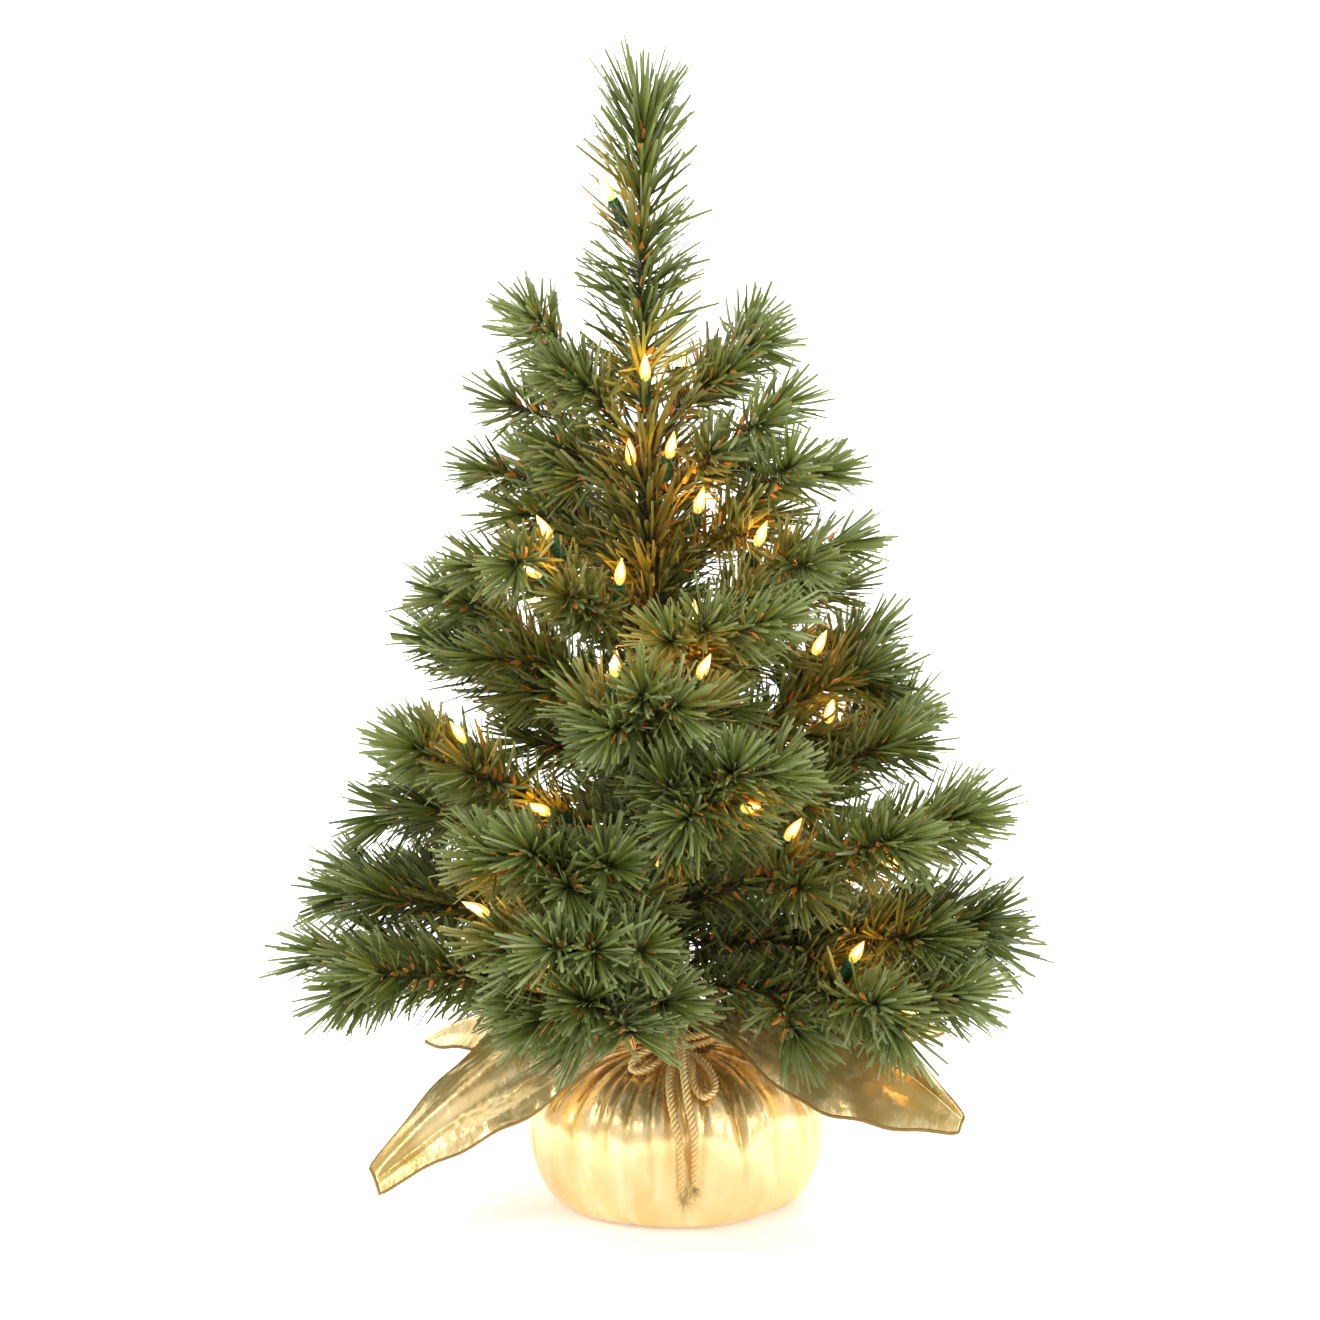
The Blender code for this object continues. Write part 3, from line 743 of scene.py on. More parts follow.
@dataclass(frozen=True)
class Clearing:
    """The space in front of the bag's tie, which no needle's tip hangs into."""

    middle: float = -0.002
    half_width: float = 0.052
    front: float = -0.02
    top: float = 0.102
    slope: float = 0.15
    slope_from: float = -0.03
    ragged: float = 0.003
    root_above: float = 0.09

    def blocked(self, base: Array, tips: Array, noise: np.random.Generator) -> Array:
        """Which strips hang into the space.

        Args:
            base: the strips' roots, n by 3.
            tips: their tips, n by 3.
            noise: the source of the space's ragged edge.

        Returns:
            One truth value for each strip.
        """
        ahead = (np.abs(tips[:, 0] - self.middle) < self.half_width) & (tips[:, 1] < self.front)
        ragged = noise.normal(0.0, self.ragged, len(tips))
        ceiling = self.top - self.slope * (tips[:, 1] - self.slope_from) + ragged
        return ahead & (tips[:, 2] < ceiling) & (base[:, 2] > self.root_above)


@dataclass
class Strips:
    """Strips of one form, gathered along several paths and then added to a shape at once."""

    form: NeedleForm
    clearing: Clearing = Clearing()
    bulb_room: float = 0.0075
    # How far the painted lamp glow reaches round a bulb.
    painted_glow_reach: float = 0.019
    bases: list[Array] = field(default_factory=list)
    aims: list[Array] = field(default_factory=list)
    bends: list[Array] = field(default_factory=list)
    outs: list[Array] = field(default_factory=list)
    sizes: list[Array] = field(default_factory=list)
    tones: list[Array] = field(default_factory=list)

    def grow(
        self,
        path: Array,
        density: float,
        noise: np.random.Generator,
        spread: tuple[float, float] = (58.0, 26.0),
        tone: float = 0.5,
        start: float = 0.0,
        radius: float = 0.0007,
        size: float = 1.0,
    ) -> None:
        """Grows strips round a path.

        Args:
            path: the wire that they grow from.
            density: how many there are in a metre.
            noise: the source of their variation.
            spread: their lean from the wire in degrees, at its start and at its end.
            tone: their middle tone, from 0 for dark to 1 for pale.
            start: the distance along the path where they begin.
            radius: how far from the path they start.
            size: scales their length.
        """
        path = resampled(path, 0.002)
        along = distances(path)
        count = max(4, int((along[-1] - start) * density))
        order = (np.arange(count) + noise.random(count)) / count
        where = start + (along[-1] - start) * order
        vectors = (path, *side_frames(path))
        root, heading, first, second = (sampled(grid, along, where) for grid in vectors)
        heading = unit(heading)
        turn = (np.arange(count) * GOLDEN_TURN + noise.normal(0.0, 0.5, count))[:, None]
        out = unit(np.cos(turn) * first + np.sin(turn) * second)
        lean = spread[0] + (spread[1] - spread[0]) * order**3 + noise.normal(0.0, 9.0, count)
        lean = np.radians(lean)
        knots = np.arange(0.0, along[-1] + 0.012, 0.006)
        lean = lean + np.interp(where, knots, noise.normal(0.0, math.radians(5.0), len(knots)))
        aim = heading * np.cos(lean)[:, None] + out * np.sin(lean)[:, None]
        self.bases.append(root + out * radius)
        self.aims.append(unit(aim + noise.normal(0.0, 0.07, (count, 3))))
        bend = heading * about(noise, 0.10, 0.12, count)[:, None]
        self.bends.append(bend + noise.normal(0.0, 0.03, (count, 3)))
        self.outs.append(out)
        self.sizes.append(self.form.length * size * about(noise, 0.94, 0.13, count))
        self.tones.append(np.clip(tone + noise.normal(0.0, 0.2, count), 0.0, 1.0))

    def clear_of(self, lamps: Array, base: Array, aim: Array, size: Array) -> Array:
        """Which strips run clear of every bulb.

        Args:
            lamps: the bulbs' places, n by 3.
            base: the strips' roots.
            aim: their headings.
            size: their lengths.

        Returns:
            One truth value for each strip.
        """
        gaps = ((lamps[None] - base[:, None]) * aim[:, None]).sum(2)
        share = np.clip(gaps / size[:, None], 0.0, 1.0)
        nearest = base[:, None] + aim[:, None] * (share * size[:, None])[..., None]
        return np.linalg.norm(nearest - lamps[None], axis=2).min(1) > self.bulb_room

    def add_to(
        self, shape: Shape, noise: np.random.Generator, lamps: Array, band: tuple[float, float]
    ) -> None:
        """Adds the strips to a shape.

        Args:
            shape: what they are added to.
            noise: the source of their roll.
            lamps: the places of lit lamps, n by 3; strips that run through a bulb are left out, and
                strips near a bulb take a painted lamp glow.
            band: where the strips' cells start and end in the bake map.
        """
        rows = (self.bases, self.aims, self.sizes, self.bends, self.outs, self.tones)
        parts = [np.concatenate(row) for row in rows]
        if len(lamps):
            clear = self.clear_of(lamps, *parts[:3])
            parts = [part[clear] for part in parts]
        tips = parts[0] + parts[1] * parts[2][:, None]
        clear = ~self.clearing.blocked(parts[0], tips, noise)
        base, aim, size, bend, out, tone = (part[clear] for part in parts)
        count = len(base)
        roll = noise.normal(0.0, 0.7, count)
        across = unit(np.cross(aim, out))
        across = across * np.cos(roll)[:, None] + np.cross(aim, across) * np.sin(roll)[:, None]
        normal = np.cross(across, aim)
        form = self.form
        rings = []
        for share, taper in zip(form.stations, form.taper):
            centre = base + aim * (size * share)[:, None] + bend * (size * share**2)[:, None]
            half = across * (0.5 * form.width * taper)
            rings.append(np.stack([centre - half, centre + half, centre - normal * form.thickness], 1))
        points = np.stack(rings, 1)
        # Painted lamp glow: each strip takes a share of amber that falls off with its distance from
        # the nearest lit bulb.
        painted_glow = np.zeros(count)
        if len(lamps):
            middle = points[:, 2].mean(1)
            near = np.linalg.norm(middle[:, None] - lamps[None], axis=2).min(1)
            painted_glow = np.exp(-((near / self.painted_glow_reach) ** 2))
        paint = np.zeros((count, len(rings), 3, 3))
        paint[..., 0] = tone[:, None, None]
        paint[..., 1] = np.array(form.stations)[None, :, None]
        paint[..., 2] = painted_glow[:, None, None]
        faces, corners = form.template()
        stride = len(rings) * 3
        steps = range(0, count * stride, stride)
        every = [tuple(index + step for index in face) for step in steps for face in faces]
        columns = int(math.ceil(math.sqrt(count)))
        lines = int(math.ceil(count / columns))
        cell = np.stack([np.arange(count) % columns, np.arange(count) // columns], 1)
        scale = np.array([1.0 / columns, (band[1] - band[0]) / lines])
        places = (cell[:, None] + 0.06 + corners[None] * 0.88) * scale + np.array([0.0, band[0]])
        paint, places = paint.reshape(-1, 3), places.reshape(-1, 2)
        shape.add(points.reshape(-1, 3), every, form.slot, False, paint, places)


@dataclass
class TwistedWire:
    """Two soft wires twisted together."""

    strand: float = 0.00055
    pitch: float = 0.0046
    step: float = 0.0016
    sides: int = 4

    def add_to(self, shape: Shape, path: Array, low: float, high: float) -> None:
        """Adds the pair along a path, with its corners in one band of the bake map."""
        for strand in range(2):
            line = helix(path, self.strand * 0.9, self.pitch, math.pi * strand, self.step)
            left = 0.5 * strand
            corners = tube_map(len(line), self.sides, (left, low), (left + 0.48, high))
            shape.add(*tube(line, self.strand, self.sides), 1, corners=corners)


# ---------------------------------------------------------------- branches


@dataclass(frozen=True)
class Tier:
    """Branches that leave the trunk at one height, evenly round it."""

    above_neck: float
    count: int
    reach: float
    rise_deg: float
    turn_deg: float
    twigs: int


TIERS = (
    Tier(0.033, 5, 0.198, 3.5, 184.0, 2),
    Tier(0.055, 4, 0.204, 6.0, 342.0, 2),
    Tier(0.079, 4, 0.184, 18.0, 335.0, 2),
    Tier(0.104, 4, 0.163, 26.0, 105.0, 2),
    Tier(0.136, 3, 0.154, 30.0, 146.0, 2),
    Tier(0.172, 3, 0.130, 34.0, 284.0, 0),
    Tier(0.214, 3, 0.106, 37.0, 217.0, 0),
    Tier(0.252, 2, 0.094, 40.0, 338.0, 0),
    Tier(0.291, 2, 0.076, 42.0, 156.0, 0),
    Tier(0.328, 2, 0.064, 50.0, 16.0, 0),
)

# Branches that are bent up further than the rest of their tier, by number, in degrees.
BENT_UP_DEG = {2: 5.5, 9: 4.5}
# Branches whose wires end nearer to their tips or further from them than the rest, in metres.
SHORTER_BY = {
    **dict.fromkeys((1, 10), -0.012),
    **dict.fromkeys((12, 31, 32), 0.010),
    **dict.fromkeys((27, 28), 0.007),
    **dict.fromkeys((29, 30), 0.014),
    6: 0.006,
    15: 0.012,
}
# Short shoots near a branch's root: how far along the branch, and on which side.
SHOOTS = ((0.22, 1), (0.30, -1), (0.36, 1), (0.62, -1), (0.68, 1))
# The stretch of a forked branch that its twigs' roots take up, where no shoot grows.
FORK_STRETCH = (0.33, 0.60)
TRUNK_TOP = NECK_HEIGHT + TIERS[-1].above_neck + 0.008
TREE_HEIGHT = 0.610


@dataclass
class Branch:
    """One branch: where it grows from the trunk, and the paths of its stem and twigs."""

    number: int
    tier: Tier
    turn_deg: float

    @property
    def name(self) -> str:
        """The branch's CAD node."""
        return f"branch_{self.number:02d}"

    @property
    def body(self) -> str:
        """The body that the branch belongs to."""
        return f"{self.name}_body"

    @property
    def length(self) -> float:
        """From its root to its needles' tips."""
        return (self.tier.reach - PIVOT_RADIUS) / math.cos(math.radians(self.tier.rise_deg))

    @property
    def slightness(self) -> float:
        """How much slighter its needles are than the lowest branches', from 0 to 1."""
        return min(1.0, max(0.0, (self.tier.above_neck - 0.09) / 0.12))

    @property
    def short_of_tip(self) -> float:
        """How far its wire ends from its needles' tips."""
        return 0.025 + 0.010 * self.slightness + SHORTER_BY.get(self.number, 0.0)

    def matrix(self) -> Matrix:
        """From the branch's own frame, +X away from the trunk, to the tree's."""
        turn = math.radians(self.turn_deg)
        height = NECK_HEIGHT + self.tier.above_neck
        axis = Vector((-math.tan(LEAN) * height, 0.0, height))
        pivot = axis + Vector((math.cos(turn), math.sin(turn), 0.0)) * PIVOT_RADIUS
        return Matrix.Translation(pivot) @ Matrix.Rotation(turn, 4, "Z")

    def local(self, distance: float) -> Vector:
        """A point along the stem in the branch's own frame."""
        rise = math.radians(self.tier.rise_deg)
        lift = CURL * self.length * (distance / self.length) ** 2
        forward = distance * math.cos(rise) - lift * math.sin(rise)
        return Vector((forward, 0.0, distance * math.sin(rise) + lift * math.cos(rise)))

    def stem(self) -> Array:
        """The stem's wire, from its root."""
        spots = np.linspace(-0.0012, self.length - self.short_of_tip, 60)
        matrix = self.matrix()
        return np.array([matrix @ self.local(spot) for spot in spots])

    def twig(self, side: Side) -> Array:
        """A side twig's wire, from the fork."""
        fork = self.length * FORK_AT
        start = self.local(fork)
        ahead = (self.local(fork + 0.014) - start).normalized()
        spread = FORK * side.value
        heading = ahead * math.cos(spread) + Vector((0.0, 1.0, 0.0)) * math.sin(spread)
        reach = self.length * TWIG_SHARE
        matrix = self.matrix()
        points = []
        for spot in np.linspace(0.0, reach - self.short_of_tip * 0.85, 24):
            lift = Vector((0.0, 0.0, CURL * reach * (spot / reach) ** 2))
            points.append(matrix @ (start + heading * spot + lift))
        return np.array(points)

    def twiglet(self, share: float, spread_deg: float, lift_deg: float, reach: float) -> Array:
        """A short side shoot.

        Args:
            share: where it leaves the stem, as a share of the branch.
            spread_deg: its angle from the stem, to the left.
            lift_deg: its angle above the stem.
            reach: its length.

        Returns:
            Its wire.
        """
        start = self.local(self.length * share)
        ahead = (self.local(self.length * share + 0.014) - start).normalized()
        spread, lift = math.radians(spread_deg), math.radians(lift_deg)
        over = ahead.cross(Vector((0.0, -1.0, 0.0))).normalized()
        heading = ahead * math.cos(spread) + Vector((0.0, 1.0, 0.0)) * math.sin(spread)
        heading = heading * math.cos(lift) + over * math.sin(lift)
        matrix = self.matrix()
        spots = np.linspace(0.0, reach, 14)
        return np.array([matrix @ (start + heading * spot + over * 2.0 * spot**2) for spot in spots])

    def wires(self, noise: np.random.Generator) -> list[Array]:
        """Every wire of the branch: the stem, its twigs and a few short shoots near its root."""
        found = [self.stem()]
        found += [self.twig(side) for side in (Side.RIGHT, Side.LEFT)[: self.tier.twigs]]
        reach = min(0.044, 0.34 * self.length)
        for share, side in SHOOTS:
            if self.tier.twigs and FORK_STRETCH[0] < share < FORK_STRETCH[1]:
                continue
            spread, lift = side * noise.uniform(28.0, 46.0), noise.uniform(-4.0, 30.0)
            found.append(self.twiglet(share, spread, lift, reach * noise.uniform(0.7, 1.0)))
        return found


def every_branch() -> list[Branch]:
    """All the branches, numbered from the bottom tier up."""
    found: list[Branch] = []
    for tier in TIERS:
        for place in range(tier.count):
            number = len(found) + 1
            bent = replace(tier, rise_deg=tier.rise_deg + BENT_UP_DEG.get(number, 0.0))
            found.append(Branch(number, bent, tier.turn_deg + 360 * place / tier.count))
    return found


@dataclass(frozen=True)
class Bristle:
    """How thickly and how widely needles stand on a wire."""

    density: float = 2450.0
    spread: tuple[float, float] = (56.0, 28.0)
    size: float = 1.0
    burst: float = 2600.0
    bare: float = 0.010


FOLIAGE_FINISHES = (NEEDLES, TWISTED_WIRE, SCALES)
BRANCH_BRISTLE = Bristle()
LEADER_BRISTLE = Bristle(3500.0, (64.0, 34.0), 1.24, 3000.0, 0.0)


@dataclass
class Foliage:
    """The needles, scales and wires of the branches, the leader and the trunk."""

    scale_density: float = 380.0
    seed: int = 24
    wire: TwistedWire = field(default_factory=TwistedWire)

    def brush(
        self,
        name: str,
        wires: Sequence[Array],
        lamps: Array,
        tone: float,
        noise: np.random.Generator,
        bristle: Bristle,
    ) -> bpy.types.Object:
        """One piece of foliage.

        Args:
            name: the piece's name.
            wires: its wires, the first of which starts bare.
            lamps: the lamps near it, n by 3, which give it a painted lamp glow and keep its needles
                clear of the bulbs.
            tone: its middle tone.
            noise: the source of its variation.
            bristle: how its needles stand.

        Returns:
            The piece.
        """
        shape = Shape()
        needles, scales = Strips(NEEDLE), Strips(SCALE)
        for index, path in enumerate(wires):
            start = bristle.bare if index == 0 else 0.006
            needles.grow(path, bristle.density, noise, bristle.spread, tone, start, size=bristle.size)
            burst = resampled(path, 0.002)[-5:]
            needles.grow(burst, bristle.burst, noise, (42.0, 18.0), tone + 0.08, size=bristle.size)
            scales.grow(path, self.scale_density, noise, (54.0, 40.0), 0.5, start, 0.0030)
        needles.add_to(shape, noise, lamps, NEEDLE_BAND)
        scales.add_to(shape, noise, lamps, SCALE_BAND)
        band = (1.0 - WIRE_BAND_FROM) / len(wires)
        for index, path in enumerate(wires):
            low = WIRE_BAND_FROM + band * index
            self.wire.add_to(shape, path, low, low + band * 0.92)
        return shape.build(name, FOLIAGE_FINISHES, True, True)

    def build(self, branches: Sequence[Branch], lamps: "Lamps") -> None:
        """Builds the foliage of every branch, of the leader and of the trunk."""
        noise = np.random.default_rng(self.seed)
        for branch in branches:
            spots = lamps.spots_near(branch.stem(), 0.08)
            tone = 0.36 + 0.34 * noise.random()
            wires = branch.wires(noise)
            bristle = replace(BRANCH_BRISTLE, size=1.0 - 0.20 * branch.slightness)
            piece = self.brush(f"{branch.name}_foliage", wires, spots, tone, noise, bristle)
            attach(piece, branch.body, branch.name)
            LOG.info("%s: %d wires", piece.name, len(wires))
        self.build_leader(lamps, noise)
        self.build_trunk_filling(lamps, noise)

    def build_leader(self, lamps: "Lamps", noise: np.random.Generator) -> None:
        """The upright top, which curls a little at its tip."""
        path = leader_path()
        spots = lamps.spots_near(path, 0.05)
        piece = self.brush("leader_foliage", [path], spots, 0.5, noise, LEADER_BRISTLE)
        attach(piece, "leader_body", "leader")
        LOG.info("%s", piece.name)

    def build_trunk_filling(self, lamps: "Lamps", noise: np.random.Generator) -> None:
        """Short garland wound up the trunk, which fills the tree's heart."""
        heights = np.linspace(NECK_HEIGHT + 0.030, TRUNK_TOP - 0.004, 260)
        axis = np.stack([-math.tan(LEAN) * heights, 0 * heights, heights], 1)
        turns = heights * math.tau / 0.030
        path = axis + 0.0078 * np.stack([np.cos(turns), np.sin(turns), 0 * turns], 1)
        spots = lamps.spots_near(axis, 0.05)
        shape, needles, scales = Shape(), Strips(NEEDLE), Strips(SCALE)
        needles.grow(axis, 3200.0, noise, (78.0, 60.0), 0.26, 0.0, 0.0075)
        needles.grow(axis, 3400.0, noise, (62.0, 42.0), 0.32, 0.03, 0.0082)
        scales.grow(axis, 500.0, noise, (70.0, 60.0), 0.4, 0.0, 0.0080)
        needles.add_to(shape, noise, spots, NEEDLE_BAND)
        scales.add_to(shape, noise, spots, SCALE_BAND)
        line = resampled(path, 0.0025)
        corners = tube_map(len(line), 4, (0.0, WIRE_BAND_FROM), (1.0, 1.0))
        shape.add(*tube(line, 0.0006, 4), 1, corners=corners)
        piece = shape.build("trunk_garland", FOLIAGE_FINISHES, True, True)
        attach(piece, BASE_BODY)
        LOG.info("%s", piece.name)


def leader_path() -> Array:
    """The leader's wire, from its root at the trunk's top."""
    low = TRUNK_TOP + GAP + ROOT_RADIUS
    length = TREE_HEIGHT / math.cos(LEAN) - low
    spots = np.linspace(-0.001, length - 0.030, 50)
    heights = low + spots
    curl = 0.007 * (np.clip(spots, 0.0, None) / length) ** 2
    return np.stack([curl - math.sin(LEAN) * heights, 0 * spots, math.cos(LEAN) * heights], 1)


# ---------------------------------------------------------------- lamps


@dataclass(frozen=True)
class LampSpot:
    """A lamp's place: its branch (0 for the leader), its wire, how far along it, and its lean."""

    branch: int
    side: Side
    share: float
    lean: tuple[float, float, float] = (0.0, 0.0, 1.0)


# The lamps that have CAD nodes: branch number and the side of the stem that they sit on.
CAD_LAMPS = ((3, 1), (9, -1), (10, -1), (16, 1), (24, 1))
CAD_LAMP_AT = 0.60

LAMP_SPOTS = (
    LampSpot(0, Side.MIDDLE, 0.64, (-0.6, -0.3, 1.0)),
    LampSpot(0, Side.MIDDLE, 0.06, (0.0, -0.6, 1.0)),
    LampSpot(30, Side.MIDDLE, 0.27, (0.1, -0.45, 1.0)),
    LampSpot(29, Side.MIDDLE, 0.12, (0.0, -0.6, 1.0)),
    LampSpot(27, Side.MIDDLE, 0.40, (0.15, -0.45, 1.0)),
    LampSpot(25, Side.MIDDLE, 0.73, (0.3, -0.45, 1.0)),
    LampSpot(24, Side.MIDDLE, 0.82, (-0.5, -0.45, 1.0)),
    LampSpot(24, Side.MIDDLE, 0.37, (0.2, -0.45, 1.0)),
    LampSpot(20, Side.LEFT, 0.43, (0.45, -0.45, 1.0)),
    LampSpot(19, Side.LEFT, 0.80, (0.40, -0.45, 1.0)),
    LampSpot(19, Side.RIGHT, 0.83, (0.2, -0.45, 1.0)),
    LampSpot(17, Side.LEFT, 0.35, (0.1, -0.45, 1.0)),
    LampSpot(15, Side.MIDDLE, 0.36, (-0.9, -0.6, 0.5)),
    LampSpot(15, Side.LEFT, 0.78, (-0.5, -0.45, 0.8)),
    LampSpot(13, Side.MIDDLE, 0.16, (0.4, -0.6, 1.0)),
    LampSpot(10, Side.MIDDLE, 0.37, (0.5, -0.45, 1.0)),
    LampSpot(9, Side.RIGHT, 0.84, (-0.85, -0.3, 0.55)),
    LampSpot(8, Side.MIDDLE, 0.46, (-0.2, -0.6, 1.0)),
    LampSpot(3, Side.RIGHT, 0.30, (0.4, -0.5, 1.0)),
    LampSpot(4, Side.MIDDLE, 0.70, (0.4, 0.4, 1.0)),
    LampSpot(5, Side.MIDDLE, 0.66, (-0.3, 0.5, 1.0)),
    LampSpot(7, Side.LEFT, 0.60, (0.3, 0.5, 1.0)),
    LampSpot(11, Side.RIGHT, 0.60, (0.2, 0.5, 1.0)),
    LampSpot(12, Side.MIDDLE, 0.50, (-0.5, 0.4, 1.0)),
    LampSpot(14, Side.MIDDLE, 0.62, (-0.1, 0.6, 1.0)),
    LampSpot(18, Side.MIDDLE, 0.60, (-0.4, 0.5, 1.0)),
    LampSpot(21, Side.MIDDLE, 0.64, (0.1, -0.3, 1.0)),
    LampSpot(23, Side.MIDDLE, 0.62, (-0.4, 0.4, 1.0)),
    LampSpot(26, Side.MIDDLE, 0.60, (0.2, 0.5, 1.0)),
    LampSpot(31, Side.MIDDLE, 0.50, (0.2, 0.5, 1.0)),
)


# The glass's outline, as shares of its radius and of its height.
BULB_OUTLINE = (
    *((0.0, 0.0), (0.62, 0.0), (0.84, 0.1), (1.0, 0.24), (1.0, 0.36), (0.88, 0.52)),
    *((0.62, 0.70), (0.36, 0.84), (0.16, 0.95), (0.05, 0.995), (0.0, 1.0)),
)


@dataclass
class Lamp:
    """One push-in mini lamp: a ribbed holder, a pointed bulb and what glows in it."""

    holder_radius: float = 0.0033
    holder_length: float = 0.013
    bulb_radius: float = 0.0029
    bulb_length: float = 0.0165
    flange_height: float = 0.0013
    sides: int = 14

    def holder(self, shape: Shape, matrix: Matrix) -> None:
        """Adds the holder: ribs, a collar, the mouth and a short wire end."""
        radius, length = self.holder_radius, self.holder_length
        profile = [(0.0, 0.0), (radius * 0.62, 0.0), (radius * 0.72, length * 0.10)]
        for rib in range(4):
            low = length * (0.16 + 0.15 * rib)
            profile += [(radius * 0.86, low), (radius * 0.98, low + length * 0.04)]
            profile += [(radius * 0.98, low + length * 0.09), (radius * 0.86, low + length * 0.12)]
        profile += [(radius * 0.9, length * 0.82), (radius, length * 0.86), (radius, length)]
        profile += [(radius * 0.8, length), (radius * 0.78, length * 0.8), (0.0, length * 0.8)]
        add_placed(shape, lathe(profile, self.sides), matrix, 0)
        clip = [(radius * 0.9, 0.0, length * 0.2), (radius * 1.9, 0.0, length * 0.1)]
        clip.append((radius * 2.0, 0.0, -length * 0.2))
        add_placed(shape, tube(smooth_route(clip, 0.001), 0.0007, 6, 0.6), matrix, 0)

    def bulb(self, shape: Shape, matrix: Matrix) -> None:
        """Adds the bulb: its flange, the glass, the glowing heart and the filament's posts."""
        seat = self.holder_length + GAP
        radius, length = self.bulb_radius, self.bulb_length
        start = seat + self.flange_height
        flange = [(0.0, seat - 0.0030), (radius * 0.8, seat - 0.0030), (radius * 0.82, seat)]
        flange += [(radius * 1.05, seat), (radius * 1.05, seat + 0.0011)]
        flange += [(radius * 0.75, start), (0.0, start)]
        add_placed(shape, lathe(flange, self.sides), matrix, 0)
        tall = length - self.flange_height
        glass = [(radius * out, start + tall * up) for out, up in BULB_OUTLINE]
        add_placed(shape, lathe(glass, self.sides), matrix, 1)
        turns = [math.pi * step / 8 for step in range(9)]
        heart = [
            (radius * 0.66 * math.sin(turn), start + length * (0.40 - 0.30 * math.cos(turn)))
            for turn in turns
        ]
        add_placed(shape, lathe(heart, 10), matrix, 2)
        for side in (-1, 1):
            post = [(side * 0.0006, 0.0, start), (side * 0.0009, 0.0, start + 0.002)]
            post.append((side * 0.0004, 0.0, start + 0.0036))
            add_placed(shape, tube(smooth_route(post, 0.0006), 0.00012, 5), matrix, 3)

    def heart(self, matrix: Matrix) -> Vector:
        """The middle of the bulb."""
        return matrix @ Vector((0.0, 0.0, self.holder_length + 0.45 * self.bulb_length))


